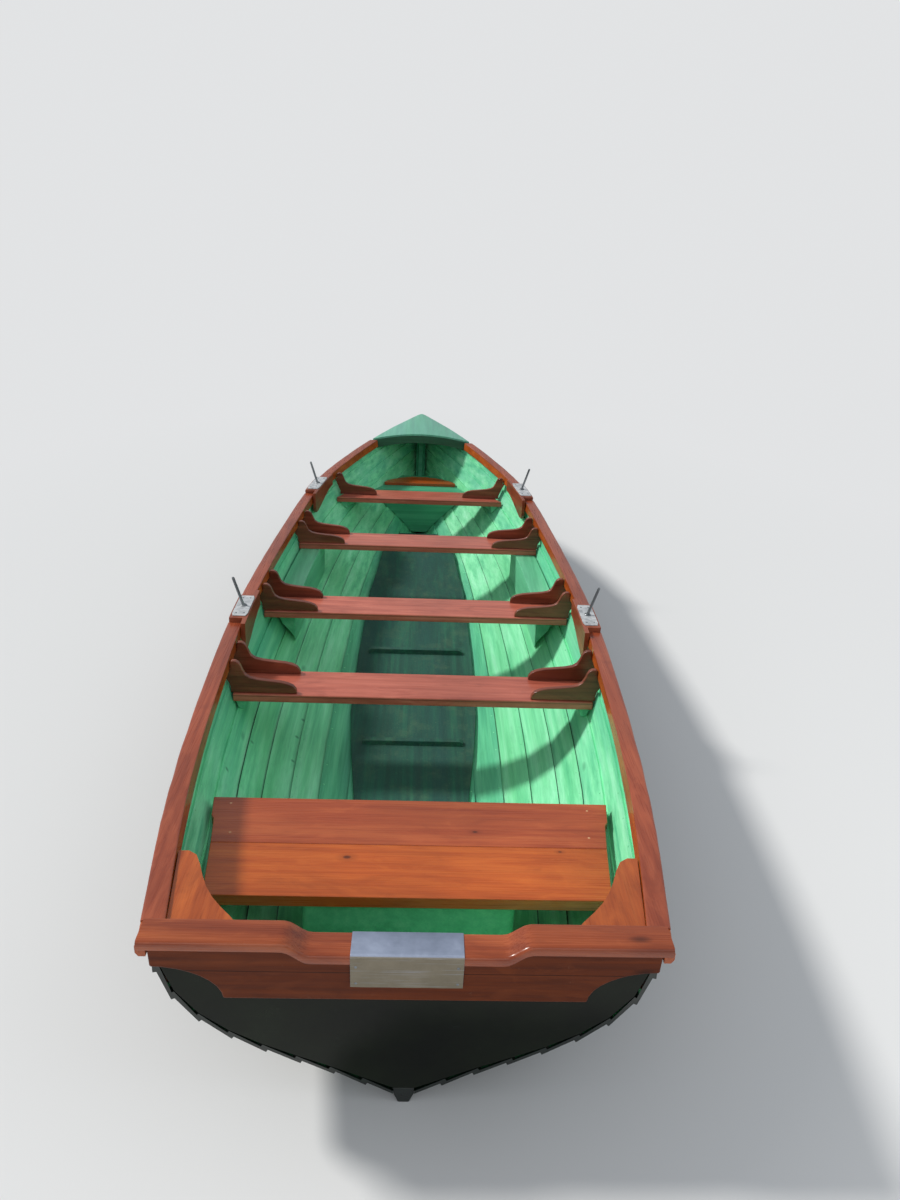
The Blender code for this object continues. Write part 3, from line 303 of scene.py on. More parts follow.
def wood(name, shades, grain=X, seed=0.0, coat=0.5, rough=0.30, knots=0.35, dull=0.0, marks=(), joint=None):
    """Varnished wood, with knots at marked spots and a dark joint line at a height."""
    dark, middle, light = [srgb(shade) for shade in shades]
    g = Graph(name, rough, coat=coat * 0.7, coat_rough=0.16, level=0.35 if coat > 0.1 else 0.15,
              shift=(seed * 3.7 + 0.31, seed * 1.9 + 0.47, seed * 2.3 + 0.13))
    warp = g.noise(along_grain(grain, 5.0, 1.1), 2.0)
    rings = g.wave(along_grain(grain, 1.0, 0.06), 11.0, 9.0, 3.0)
    broad = g.noise(along_grain(grain, 24.0, 1.2), 5.0, 0.55, 0.7)
    fine = g.noise(along_grain(grain, 210.0, 4.5), 3.0, 0.6)
    pores = g.noise(along_grain(grain, 620.0, 22.0), 2.0)
    figure = g.noise(along_grain(grain, 11.0, 3.2), 6.0, 0.62, 1.3)
    patch = g.noise((2.0, 2.0, 2.0), 2.0)
    base = g.ramp(broad, [(0.30, dark), (0.50, middle), (0.72, light)])
    base = g.mix(0.26, base, g.ramp(rings, [(0.10, light), (0.55, middle), (0.92, dark)]))
    base = g.mix(0.20, base, g.ramp(fine, [(0.38, scaled(middle, 0.62)), (0.60, light)]))
    base = g.lay(base, pores, 0.60, 0.76, 0.30, scaled(dark, 0.50))
    base = g.lay(base, warp, 0.35, 0.65, 0.34, scaled(middle, 0.68))
    base = g.lay(base, figure, 0.53, 0.66, 0.38, scaled(dark, 0.82))
    base = g.mix(g.map(figure, 0.36, 0.46, 0.30, 0.0), base, scaled(light, 1.06))
    if knots:
        spots = g.knots(along_grain(grain, 8.5, 3.4), knots, 0.13)
        base = g.mix(g.math("MULTIPLY", spots, 0.72), base, scaled(dark, 0.30))
    base = g.tint(base, patch, (0.30, (0.84, 0.82, 0.80)), (0.70, (1.12, 1.10, 1.08)))
    for spot, radius in marks:
        away = g.around(spot, along_grain(grain, 1.0, 0.62), broad, radius * 0.9)
        base = g.mix(g.map(away, radius * 0.7, radius * 2.6, 0.45, 0.0), base, scaled(dark, 0.6))
        base = g.mix(g.map(away, radius * 0.45, radius * 0.9, 0.85, 0.0), base, scaled(dark, 0.22))
    if joint is not None:
        away = g.math("ABSOLUTE", g.math("SUBTRACT", g.parts("Object")["Z"], joint))
        base = g.mix(g.map(away, JOINT_WIDTH * 0.5, JOINT_WIDTH, 0.85, 0.0), base, scaled(dark, 0.18))
    if dull:
        base = g.lay(base, g.noise((22.0, 22.0, 22.0), 7.0, 0.7), 0.66, 0.76, dull, srgb("A88C78"))
    height = g.math("ADD", g.math("MULTIPLY", fine, 0.7), g.math("MULTIPLY", rings, 0.3))
    return g.done(base, g.map(fine, 0.3, 0.7, rough - 0.06, rough + 0.12), height, 0.16, 0.0007)


def paint(name, shades, grain, rough, coat=0.0, seed=0.0, bump=0.2, streak=0.6,
          drift=None, knots=0.25, dirt=None, scuffs=None, upper=None):
    """Brushed paint on wood, streaked along the grain, with another colour on top where upper is given."""
    deep, plain, pale = [srgb(shade) for shade in shades]
    g = Graph(name, rough, coat=coat, coat_rough=0.18,
              shift=(seed * 2.1 + 0.17, seed * 4.3 + 0.29, seed * 1.1 + 0.41))
    broad = g.noise((1.7, 0.8, 1.7), 4.0, 0.55)
    brush = g.noise(along_grain(grain, 34.0, 1.0), 4.0, 0.6)
    wide = g.noise(along_grain(grain, 9.0, 0.5), 3.0, 0.6)
    hair = g.noise(along_grain(grain, 230.0, 3.2), 3.0, 0.6)
    base = g.mix(streak, plain, g.ramp(brush, [(0.27, deep), (0.5, plain), (0.75, pale)]))
    if drift:
        base = g.lay(base, wide, 0.40, 0.66, 0.55, srgb(drift))
    base = g.tint(base, broad, (0.30, (0.86, 0.88, 0.88)), (0.70, (1.08, 1.08, 1.08)))
    base = g.tint(base, hair, (0.30, (0.90, 0.92, 0.91)), (0.62, (1.04, 1.04, 1.04)))
    height = hair
    if knots:
        spots = g.knots(along_grain(grain, 9.0, 4.2), knots, 0.17)
        base = g.mix(g.math("MULTIPLY", spots, 0.45), base, scaled(deep, 0.6))
        height = g.math("SUBTRACT", hair, g.math("MULTIPLY", spots, 0.8))
    if dirt:
        sand = g.noise((130.0, 130.0, 130.0), 4.0, 0.7)
        base = g.lay(base, g.noise((9.0, 6.0, 9.0), 8.0, 0.72), 0.50, 0.74, 0.60, srgb(dirt))
        base = g.lay(base, sand, 0.60, 0.70, 0.55, scaled(srgb(dirt), 1.3))
        height = g.math("ADD", hair, sand)
    if scuffs:
        base = g.lay(base, g.noise((30.0, 16.0, 30.0), 7.0, 0.75), 0.64, 0.74, 0.6, srgb(scuffs))
    if upper:
        top = g.ramp(brush, [(0.3, scaled(srgb(upper), 0.7)), (0.6, srgb(upper))])
        facing = g.math("GREATER_THAN", g.parts("Normal")["Z"], 0.7)
        base = g.mix(g.math("MULTIPLY", facing, before_transom(g)), base, top)
    return g.done(base, g.map(brush, 0.3, 0.7, rough - 0.06, rough + 0.12), height, bump, 0.0010)


def metal(name, tints, rough, brushed, seed, spangle=0.0, aft_shade_tints=None, metallic=1.0):
    """Brushed metal, with spangles of a size, and darker tints as painted shade on the faces that look aft where
    given.
    """
    low, middle, high = [srgb(tint) for tint in tints]
    g = Graph(name, rough, metal=metallic, shift=(seed, seed * 1.7, seed * 0.6))
    hair = g.noise(along_grain(brushed, 260.0, 7.0), 3.0, 0.6)
    cloud = g.noise((9, 9, 9), 5.0, 0.6)
    base = g.ramp(cloud, [(0.25, low), (0.52, middle), (0.80, high)])
    # Painted shade: faces that look aft take their own darker, browner tints instead of the plate's own
    if aft_shade_tints:
        leaf = g.ramp(cloud, list(zip((0.25, 0.5, 0.8), map(srgb, aft_shade_tints))))
        base = g.mix(g.map(g.parts("Normal")["Y"], -0.75, -0.55, 1.0, 0.0), base, leaf)
    if spangle:
        chance = g.cells((1, 1, 1), spangle)[1]
        base = g.mix(0.35, base, g.ramp(chance, [(0.2, scaled(low, 0.85)), (0.8, high)]))
    base = g.lay(base, hair, 0.55, 0.75, 0.35, scaled(high, 1.05))
    height = g.math("ADD", hair, g.math("MULTIPLY", cloud, 0.8))
    return g.done(base, g.map(cloud, 0.3, 0.7, rough - 0.08, rough + 0.16), height, 0.12, 0.0005)


LOW_SPOT, HIGH_SPOT = (0.05, 0.16), (0.05, 0.42)
TRANSOM_THICK = 0.030


def transom_plane():
    """The transom's rake, and y plus z times the rake on its fore face, the same all over it."""
    tree = tree_of("transom")
    low_y, high_y = [cast(tree, (x, -FAR_END, z), FORE).y for x, z in (LOW_SPOT, HIGH_SPOT)]
    rake = (low_y - high_y) / (HIGH_SPOT[1] - LOW_SPOT[1])
    return rake, low_y + rake * LOW_SPOT[1] + TRANSOM_THICK


TRANSOM_RAKE, TRANSOM_LINE = transom_plane()


def before_transom(g):
    """One forward of the transom's fore face, zero aft of it."""
    place = g.parts("Object")
    behind = g.math("ADD", place["Y"], g.math("MULTIPLY", place["Z"], TRANSOM_RAKE))
    return g.math("GREATER_THAN", behind, TRANSOM_LINE)


def inboard(g):
    """One on faces that look towards the boat's middle or up, zero outside and past the transom."""
    normal = g.parts("Normal")
    side = g.math("SIGN", g.parts("Object")["X"])
    outward = g.math("SUBTRACT", g.math("MULTIPLY", normal["X"], side), normal["Z"])
    return g.math("MULTIPLY", g.math("LESS_THAN", outward, -0.15), before_transom(g))


def planking(name, seed, shades, drift):
    """Brushed green inside and gloss near-black green outside, on one plank band."""
    deep, plain, pale = [srgb(shade) for shade in shades]
    g = Graph(name, coat=0.10, coat_rough=0.30,
              shift=(seed * 2.1 + 0.17, seed * 4.3 + 0.29, seed * 1.1 + 0.41))
    broad = g.noise((1.7, 0.7, 1.7), 4.0, 0.55)
    brush = g.noise((26.0, 0.9, 26.0), 5.0, 0.62)
    wide = g.noise((8.0, 0.45, 8.0), 3.0, 0.6)
    hair = g.noise((210.0, 3.0, 210.0), 3.0, 0.6)
    blot = g.noise((14.0, 3.0, 14.0), 6.0, 0.7)
    rub = g.noise((40.0, 9.0, 60.0), 7.0, 0.75)
    spots = g.knots((8.0, 3.6, 8.0), 0.30, 0.15)
    green = g.ramp(brush, [(0.28, deep), (0.5, plain), (0.74, pale)])
    green = g.lay(green, wide, 0.40, 0.64, 0.60, srgb(drift))
    green = g.lay(green, blot, 0.58, 0.74, 0.30, scaled(deep, 0.75))
    green = g.tint(green, broad, (0.30, (0.87, 0.89, 0.90)), (0.70, (1.08, 1.08, 1.06)))
    green = g.tint(green, hair, (0.30, (0.88, 0.91, 0.90)), (0.62, (1.04, 1.04, 1.04)))
    green = g.mix(g.math("MULTIPLY", spots, 0.5), green, scaled(deep, 0.55))
    for spot in plank_knots:
        away = g.around(spot, (1.0, 1.0, 1.0), blot, 0.012)
        green = g.mix(g.map(away, 0.004, 0.014, 0.75, 0.0), green, scaled(deep, 0.45))
    dark = g.ramp(blot, [(0.35, srgb("08110C")), (0.60, srgb("0E1A13")), (0.78, srgb("16261C"))])
    dark = g.lay(dark, rub, 0.70, 0.80, 0.25, srgb("3C4C42"))
    way = inboard(g)
    gloss, matt = g.map(rub, 0.60, 0.80, 0.16, 0.36), g.map(brush, 0.3, 0.7, 0.46, 0.62)
    g.fill(g.shader.inputs["Specular IOR Level"], g.map(way, 0.0, 1.0, 0.55, 0.28))
    height = g.math("SUBTRACT", g.math("ADD", hair, g.math("MULTIPLY", brush, 0.6)), g.math("MULTIPLY", spots, 0.8))
    return g.done(g.mix(way, dark, green), g.mix(way, gloss, matt, kind="FLOAT"), height, 0.16, 0.0011)


def transom_paint():
    """Gloss dark outside, green on the face that looks forward and brown on top."""
    g = Graph("transom_paint", coat=0.05, coat_rough=0.10, level=0.12, shift=(1.0, 1.3, 0.7))
    blot = g.noise((3.0, 3.0, 3.0), 6.0, 0.65)
    scrape = g.noise((26.0, 26.0, 160.0), 6.0, 0.7)
    fleck = g.noise((70.0, 70.0, 70.0), 6.0, 0.75)
    streak = g.noise((1.0, 26.0, 30.0), 4.0, 0.6)
    dark = g.ramp(blot, [(0.34, srgb("0A0E09")), (0.55, srgb("12180E")), (0.75, srgb("1A2216"))])
    dark = g.lay(dark, scrape, 0.66, 0.74, 0.40, srgb("33443B"))
    dark = g.lay(dark, fleck, 0.70, 0.76, 0.55, srgb("6E7E74"))
    green = g.ramp(streak, [(0.28, srgb("5CB88A")), (0.5, srgb("7ED4A8")), (0.74, srgb("9CE6C0"))])
    normal = g.parts("Normal")
    base = g.mix(g.math("GREATER_THAN", normal["Y"], 0.4), dark, green)
    base = g.mix(g.math("GREATER_THAN", normal["Z"], 0.75), base, srgb("84432A"))
    height = g.math("ADD", blot, g.math("MULTIPLY", scrape, 0.15))
    return g.done(base, g.map(scrape, 0.35, 0.75, 0.12, 0.30), height, 0.10, 0.0015)


def smooth_group():
    """Joins the split corners, drops stored normals and keeps edges over the limit sharp."""
    tree = bpy.data.node_groups.new("join_and_smooth", "GeometryNodeTree")
    for way in ("INPUT", "OUTPUT"):
        tree.interface.new_socket("Geometry", in_out=way, socket_type="NodeSocketGeometry")
    chain = [tree.nodes.new(kind) for kind in (
        "NodeGroupInput", "GeometryNodeRemoveAttribute", "GeometryNodeMergeByDistance",
        "GeometryNodeSetShadeSmooth", "GeometryNodeSetShadeSmooth", "NodeGroupOutput")]
    for before, after in zip(chain, chain[1:]):
        tree.links.new(before.outputs[0], after.inputs["Geometry"])
    drop, join, faces, edges = chain[1:5]
    drop.inputs["Name"].default_value = "custom_normal"
    join.inputs["Distance"].default_value = 0.00002
    faces.domain, edges.domain = "FACE", "EDGE"
    faces.inputs["Shade Smooth"].default_value = True
    angle = tree.nodes.new("GeometryNodeInputMeshEdgeAngle")
    soft = tree.nodes.new("FunctionNodeCompare")
    soft.data_type, soft.operation = "FLOAT", "LESS_THAN"
    soft.inputs[1].default_value = math.radians(28.0)
    tree.links.new(angle.outputs["Unsigned Angle"], soft.inputs[0])
    tree.links.new(soft.outputs[0], edges.inputs["Shade Smooth"])
    return tree


smoothing = smooth_group()


def soften(piece, width=0.0, steps=2, limit=30.0, cad=False):
    """Smooth shading and bevelled edges; a CAD node's flat faces are joined before the bevel."""
    piece.modifiers.new("smooth", "NODES").node_group = smoothing
    if width:
        if cad:
            flat = piece.modifiers.new("flat", "DECIMATE")
            flat.decimate_type = "DISSOLVE"
            flat.angle_limit = math.radians(0.4)
        edge = piece.modifiers.new("edge", "BEVEL")
        edge.width, edge.segments = width, steps
        edge.limit_method = "ANGLE"
        edge.angle_limit = math.radians(limit)
        edge.harden_normals = True
        if cad:
            edge.miter_outer = "MITER_ARC"
    return piece


# Knots that show in the photograph, by their pixels
SEAT_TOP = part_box("seat_plank_aft")[1][Z]
seat_marks = [(seen_at(column, row, SEAT_TOP), radius) for column, row, radius in
              ((347, 857, 0.010), (475, 832, 0.007), (560, 852, 0.006))]
plank_tree = tree_of(*PLANKS)
plank_knots = [seen_on(plank_tree, column, row) for column, row in
               ((303, 720), (297, 737), (293, 761), (227, 769), (252, 742), (560, 700))]
plank_knots = [spot for spot in plank_knots if spot is not None]

PAD_JOINT_DROP = 0.098
THWART_JOINT_DROP = 0.009
SEED_STEP = 0.7

RED = ("944638", "BA604C", "D07A66")
SEAT_AFT = ("9E4412", "BA551A", "CC6C28")
SEAT_FORE = ("8E3A1E", "A64A26", "B86034")
ORANGE = ("86380F", "AA4E1A", "C2662A")
# Gunwale tops: the inwales' wood made darker and redder, as painted shade and sky reflection
SHADED_TOP = ("7A3018", "944226", "AC5A3A")
BLOCK = ("6C2C18", "8C4228", "A45A3C")
KNEE = ("4E2014", "743624", "98543C")
CAP = ("702A12", "924220", "AE5C32")
PAD = ("481C0A", "622A10", "7C3C1A")
FILLER = ("C88A5C", "D8A47C", "E4B898")
NEAR_BLACK = ("080E0B", "101915", "1C2A22")

deck_look = paint("deck_teal", ("47877A", "63A893", "86C4B2"), Y, 0.42, 0.2, 5.0,
                  drift="5FB08C", knots=0.0, scuffs="A8D4C6")
beam_look = paint("beam_green", ("0E3C2C", "17543C", "2C7050"), X, 0.40, 0.2, 6.0)
floor_look = paint("floor_green", ("134036", "1B5044", "2A6E54"), Y, 0.72, 0.0, 3.0, bump=0.4, streak=0.8,
                   drift="1A4A48", knots=0.2, dirt="4A6A50", scuffs="5C7C62")
tank_look = paint("tank_green", ("2C8260", "44A47C", "68C298"), X, 0.45, 0.1, 7.0)
side_look = paint("box_green", ("4FAA80", "74CCA0", "98E2BC"), Y, 0.42, 0.15, 8.0, drift="3E9C74", knots=0.2)
cleat_look = paint("cleat_green", ("48A074", "66C094", "8CDAB0"), Y, 0.45, 0.1, 9.0, streak=0.5)
stem_look = paint("stem_dark", NEAR_BLACK, Z, 0.30, 0.1, 10.0, bump=0.15, knots=0.0, scuffs="3C4C42")
keel_look = paint("keel_dark", NEAR_BLACK, Y, 0.30, 0.1, 11.0, bump=0.15, knots=0.0, scuffs="3C4C42",
                  upper="4CAC80")
# The motor plate's bluish tints are painted sky reflection, and its darker, browner aft tints are painted shade
alloy = metal("alloy_plate", ("98A2B6", "A6B0C6", "B6C0D4"), 0.44, X, 1.0, aft_shade_tints=("70695C", "857D6D", "9C9484"))
zinc = metal("zinc_coat", ("9EA2A6", "C4C8CC", "DCDEE0"), 0.55, Y, 2.0, spangle=60.0, metallic=0.45)
steel = metal("pin_steel", ("5C6064", "7E8286", "A4A8AA"), 0.38, Z, 3.0)
cap_look = wood("wood_transom_cap", CAP, seed=3.4, rough=0.26)
# The gunwale tops' wood carries painted shade and sky reflection
shaded_top_look = wood("wood_gunwale_top", SHADED_TOP, Y, 6.1, rough=0.28, knots=0.05)
filler_look = wood("nail_filler", FILLER, seed=2.2, coat=0.2, rough=0.5, knots=0.0)
bands = {
    "lower": planking("planking_lower", 1.0, ("42A278", "64C896", "88E2B2"), "4AAA8C"),
    "middle": planking("planking_middle", 2.0, ("54BE8C", "86E6B0", "AAF6CE"), "62C888"),
    "upper": planking("planking_upper", 3.0, ("54BE8C", "88E8B2", "ACF8D0"), "56BE9C"),
}

# Each table goes by how a node's name starts, the first that fits
LOOKS = {
    "foredeck": deck_look, "deck_beam": beam_look, "floor_panel": floor_look, "bow_tank": tank_look,
    "seat_box": cleat_look, "seat_bearer": cleat_look, "cleat": cleat_look, "side_box": side_look,
    "keel": keel_look, "stem": stem_look, "motor_plate": alloy, "rowlock_plate": zinc,
}
SEAT_WOOD = {"rough": 0.28, "knots": 0.0, "marks": seat_marks}
WOODS = {
    "transom_outer_pad": {"shades": PAD, "seed": 2.0, "coat": 0.0, "rough": 0.50, "knots": 0.25, "dull": 0.2,
                          "joint": pad_high[Z] - PAD_JOINT_DROP},
    "transom_inner_board": {"shades": CAP, "seed": 3.0, "coat": 0.4, "rough": 0.32},
    "bow_seat": {"shades": ORANGE, "coat": 0.4},
    "rowlock_block": {"shades": BLOCK, "grain": Y, "coat": 0.4, "rough": 0.34, "knots": 0.1},
    "seat_plank_aft": {"shades": SEAT_AFT, "seed": 1.3, **SEAT_WOOD},
    "seat_plank_fore": {"shades": SEAT_FORE, "seed": 4.9, **SEAT_WOOD},
    "thwart": {"shades": RED, "coat": 0.45, "rough": 0.32, "knots": 0.12},
    "knee": {"shades": KNEE, "coat": 0.40, "rough": 0.32, "knots": 0.0},
    "": {"shades": ORANGE, "grain": Y, "knots": 0.1},
}
EDGES = {
    "foredeck": 0.003, "deck_beam": 0.003, "bow_tank": 0.002, "bow_seat": 0.003, "floor_panel": 0.003,
    "keel": 0.003, "stem": 0.003, "motor_plate": 0.0006, "seat_box": 0.002,
    "transom_outer_pad": 0.006, "transom_inner_board": 0.006, "transom": 0.002,
    "thwart": 0.0045, "seat_plank": 0.003, "knee": 0.0035, "quarter_knee": 0.005,
    "inwale": 0.003, "outwale": 0.003, "rowlock_block": 0.005, "rowlock_plate": 0.0010,
    "cleat": 0.004, "seat_bearer": 0.003, "side_box": 0.003, "": 0.0,
}


def entry(table, name):
    """The first entry of a table whose key starts the name, or None."""
    return next((value for key, value in table.items() if name.startswith(key)), None)


def look_for(name):
    """The material of a node; each wood that has no seed of its own gets one from its place in the list."""
    if "planking" in name:
        return bands[name.split("_")[0]]
    if name == "transom":
        return transom_paint()
    look = entry(LOOKS, name)
    if look:
        return look
    values = {"seed": sorted(nodes).index(name) * SEED_STEP, **entry(WOODS, name)}
    if name.startswith("thwart"):
        values["joint"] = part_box(name)[1][Z] - THWART_JOINT_DROP
    return wood("wood_" + name, **values)


for node_name, piece in nodes.items():
    piece.data.materials.clear()
    piece.data.materials.append(look_for(node_name))
    soften(piece, entry(EDGES, node_name), cad=True)


def add_piece(name, shape, look):
    bmesh.ops.recalc_face_normals(shape, faces=shape.faces)
    mesh = bpy.data.meshes.new(name)
    shape.to_mesh(mesh)
    shape.free()
    for face in mesh.polygons:
        face.use_smooth = True
    piece = add_object(name, mesh)
    mesh.materials.append(look)
    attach(piece, "root")
    return piece


def skin(shape, rings):
    """Faces between equal closed rings of corners."""
    count = len(rings[0])
    for first, second in zip(rings, rings[1:]):
        for index in range(count):
            after = (index + 1) % count
            shape.faces.new((first[index], first[after], second[after], second[index]))


def swept(rings):
    """A shape skinned over equal closed rings of places, with both ends capped."""
    shape = bmesh.new()
    made = [[shape.verts.new(place) for place in ring] for ring in rings]
    skin(shape, made)
    shape.faces.new(list(reversed(made[0])))
    shape.faces.new(made[-1])
    return shape


# A nail or screw head: shares of its radius and of its height, above a rim sunk by this much
HEAD_RIM = 0.0004
HEAD_RINGS = ((1.0, 0.35), (0.80, 0.78), (0.42, 0.97))


def add_head(shape, place, normal, radius, height, sides=12):
    """A domed nail or screw head."""
    normal = Vector(normal).normalized()
    across = normal.orthogonal().normalized()
    along = normal.cross(across)
    rings = []
    for share, rise in ((1.0, -HEAD_RIM / height), *HEAD_RINGS):
        ring = []
        for index in range(sides):
            turn = 2.0 * math.pi * index / sides
            spot = Vector(place) + radius * share * (math.cos(turn) * across + math.sin(turn) * along)
            ring.append(shape.verts.new(spot + normal * height * rise))
        rings.append(ring)
    skin(shape, rings)
    top = shape.verts.new(Vector(place) + normal * height)
    for index in range(sides):
        shape.faces.new((rings[-1][index], rings[-1][(index + 1) % sides], top))
    shape.faces.new(list(reversed(rings[0])))


WALK_STEPS = 260
WALK_HEIGHT = 0.66
WALK_OUT = 2.0
LAP_STEP = (0.004, 0.03)
NAIL_PITCH = 0.155
NAIL_INSET = 0.011
NAIL_ENDS = (0.10, 0.16)


def section_walk(tree, y, side, inside):
    """Places around one side's section, from the sheer down: how far out each is, itself and its normal."""
    found = []
    for index in range(WALK_STEPS):
        turn = math.radians(4.0 + 84.0 * index / (WALK_STEPS - 1))
        way = Vector((side * math.cos(turn), 0.0, -math.sin(turn)))
        start = Vector((0.0, y, WALK_HEIGHT))
        if inside:
            hit, normal, _, distance = tree.ray_cast(start, way)
        else:
            hit, normal, _, distance = tree.ray_cast(start + way * WALK_OUT, -way)
        if hit is not None:
            found.append((distance if inside else WALK_OUT - distance, hit, normal))
    return found


def add_lap_nails(inside):
    """Heads along every lap, inside on the lower plank's top or outside on the upper plank's foot."""
    shape = bmesh.new()
    for side, word in SIDES:
        tree = tree_of(*["%s_planking_%s" % (band, word) for band in BANDS])
        low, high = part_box("upper_planking_" + word)
        y = low[Y] + NAIL_ENDS[0]
        while y < high[Y] - NAIL_ENDS[1]:
            walk = section_walk(tree, y, side, inside)
            for before, after in zip(walk, walk[1:]):
                if LAP_STEP[0] < before[0] - after[0] < LAP_STEP[1]:
                    _, spot, normal = after if inside else before
                    slope = FORE.cross(normal).normalized()
                    if slope.z > 0.0:
                        slope = -slope
                    place = spot + slope * (NAIL_INSET if inside else -NAIL_INSET)
                    hit, facing, _, _ = tree.ray_cast(place + normal * 0.01, -normal, 0.03)
                    if hit is not None and facing.dot(normal) > 0.9:
                        add_head(shape, hit, facing, 0.0042, 0.0011, 8)
            y += NAIL_PITCH
    name, slot = ("lap_nails_inside", "green_paint") if inside else ("lap_nails_outside", "dark_paint")
    add_piece(name, shape, bands["middle"])


STEM_LEVELS = (0.26, 0.72)
STEM_STEPS = 24
STEM_HALF = (0.024, 0.036)


def add_inner_stem():
    """The post inside the bow, from behind the tank up to the deck, between the plank ends."""
    stem, planks, deck = tree_of("stem"), plank_tree, tree_of("foredeck")
    rings = []
    for index in range(STEM_STEPS + 1):
        z = STEM_LEVELS[0] + (STEM_LEVELS[1] - STEM_LEVELS[0]) * index / STEM_STEPS
        face = cast(stem, (0.004, 1.2, z), FORE)
        if face is None:
            continue
        cover = cast(deck, (0.0, face.y - 0.05, z), UP)
        if cover is None or cover.z < z + 0.004:
            break
        half = STEM_HALF[0]
        for side, _ in SIDES:
            plank = cast(planks, (0.0, face.y - 0.012, z), (side, 0.0, 0.0))
            if plank is not None:
                half = max(min(abs(plank.x), STEM_HALF[1]), half)
        rings.append([Vector((x, face.y + y, z)) for x, y in (
            (-0.019, -0.0012), (0.019, -0.0012), (half, -0.012), (0.017, -0.034), (0.016, -0.060),
            (-0.016, -0.060), (-0.017, -0.034), (-half, -0.012))])
    soften(add_piece("inner_stem", swept(rings), tank_look), 0.002)


SEAM_START, SEAM_PITCH, SEAM_COUNT = 0.085, 0.0158, 44
SEAM_SIDES = 8
SEAM_SIZE = (0.0042, 0.0085)
SEAM_OUT = 0.0215


def add_stem_seams():
    """A fillet of paint and stopping down each side of the stem, over the plank ends."""
    stem_tree = tree_of("stem")
    for side, word in SIDES:
        path = []
        for index in range(SEAM_COUNT):
            z = SEAM_START + SEAM_PITCH * index
            stem = cast(stem_tree, (0.0, FAR_END, z), AFT)
            if stem is None:
                continue
            for step in range(60):
                y = stem.y - 0.010 - 0.003 * step
                hit = cast(plank_tree, (side * 0.4, y, z), (-side, 0.0, 0.0))
                if hit is not None and abs(hit.x) < 0.06:
                    path.append(Vector((0.0, y, z)))
                    break
        if len(path) < 3:
            continue
        eased = [(before + 2.0 * spot + after) / 4.0 for before, spot, after in zip(path, path[1:], path[2:])]
        eased = [path[0], *eased, path[-1]]
        out = Vector((side, 0.0, 0.0))
        rings = []
        for before, spot, after in zip(eased[:1] + eased, eased, eased[1:] + eased[-1:]):
            ahead = (after - before).normalized().cross(out).normalized()
            centre = Vector((side * SEAM_OUT, spot.y + 0.003, spot.z))
            turns = [2.0 * math.pi * turn / SEAM_SIDES for turn in range(SEAM_SIDES)]
            rings.append([centre + out * SEAM_SIZE[0] * math.cos(turn) + ahead * SEAM_SIZE[1] * math.sin(turn)
                          for turn in turns])
        soften(add_piece("stem_seam_" + word, swept(rings), stem_look))


BLOCK_HALF = 0.1302
TOP_LIFT = 0.0016
TOP_PITCH = 0.06


def gunwale_section(side, y, inner_tree, outer_tree):
    """Inner and outer top edges of one gunwale at a place along the boat, and its top, or None."""
    out, back = Vector((side, 0.0, 0.0)), Vector((-side, 0.0, 0.0))
    levels = (cast(inner_tree, (0.0, y, 0.86 - 0.004 * level), out) for level in range(90))
    inner = next((hit for hit in levels if hit is not None), None)
    top = inner and cast(inner_tree, (inner.x + side * 0.006, y, FAR_UP), DOWN)
    if not top:
        return None
    inner = cast(inner_tree, (0.0, y, top.z - 0.004), out)
    outer = cast(outer_tree, (side * FAR_SIDE, y, top.z - 0.006), back)
    return inner and outer and (inner.x, outer.x, top.z)


def add_gunwale_tops():
    """A thin varnished top over each inwale, plank edge and outwale, in runs between the rowlocks."""
    for side, word in SIDES:
        trees = tree_of("inwale_" + word), tree_of("outwale_" + word)
        low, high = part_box("inwale_" + word)
        stops = [low[Y] + 0.004]
        for end in ("aft", "fore"):
            plate_low, plate_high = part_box("rowlock_plate_%s_%s" % (end, word))
            middle = (plate_low[Y] + plate_high[Y]) / 2.0
            stops += [middle - BLOCK_HALF, middle + BLOCK_HALF]
        stops.append(high[Y] - 0.004)
        for index, (start, end) in enumerate(zip(stops[::2], stops[1::2])):
            rings = []
            count = max(int((end - start) / TOP_PITCH), 3)
            for step in range(count + 1):
                y = start + (end - start) * step / count
                found = gunwale_section(side, y, *trees)
                if not found:
                    continue
                inner, outer, z = found
                rings.append([Vector((x, y, z + up)) for x, up in (
                    (inner - side * 0.0006, -0.0034), (inner - side * 0.0002, -0.0004),
                    (inner + side * 0.0022, TOP_LIFT * 0.8), (inner + side * 0.0060, TOP_LIFT * 1.1),
                    (inner + (outer - inner) * 0.5, TOP_LIFT * 1.35), (outer - side * 0.0070, TOP_LIFT),
                    (outer - side * 0.0026, TOP_LIFT * 0.5), (outer + side * 0.0002, -0.0012),
                    (outer + side * 0.0006, -0.0042), (outer - side * 0.004, -0.0042),
                    (inner + side * 0.004, -0.0034))])
            name = "gunwale_top_%s_%d" % (word, index + 1)
            soften(add_piece(name, swept(rings), shaded_top_look))


OUTLINE_STEPS = 90
CAP_RADIUS = 0.0115
CAP_TURNS = 6


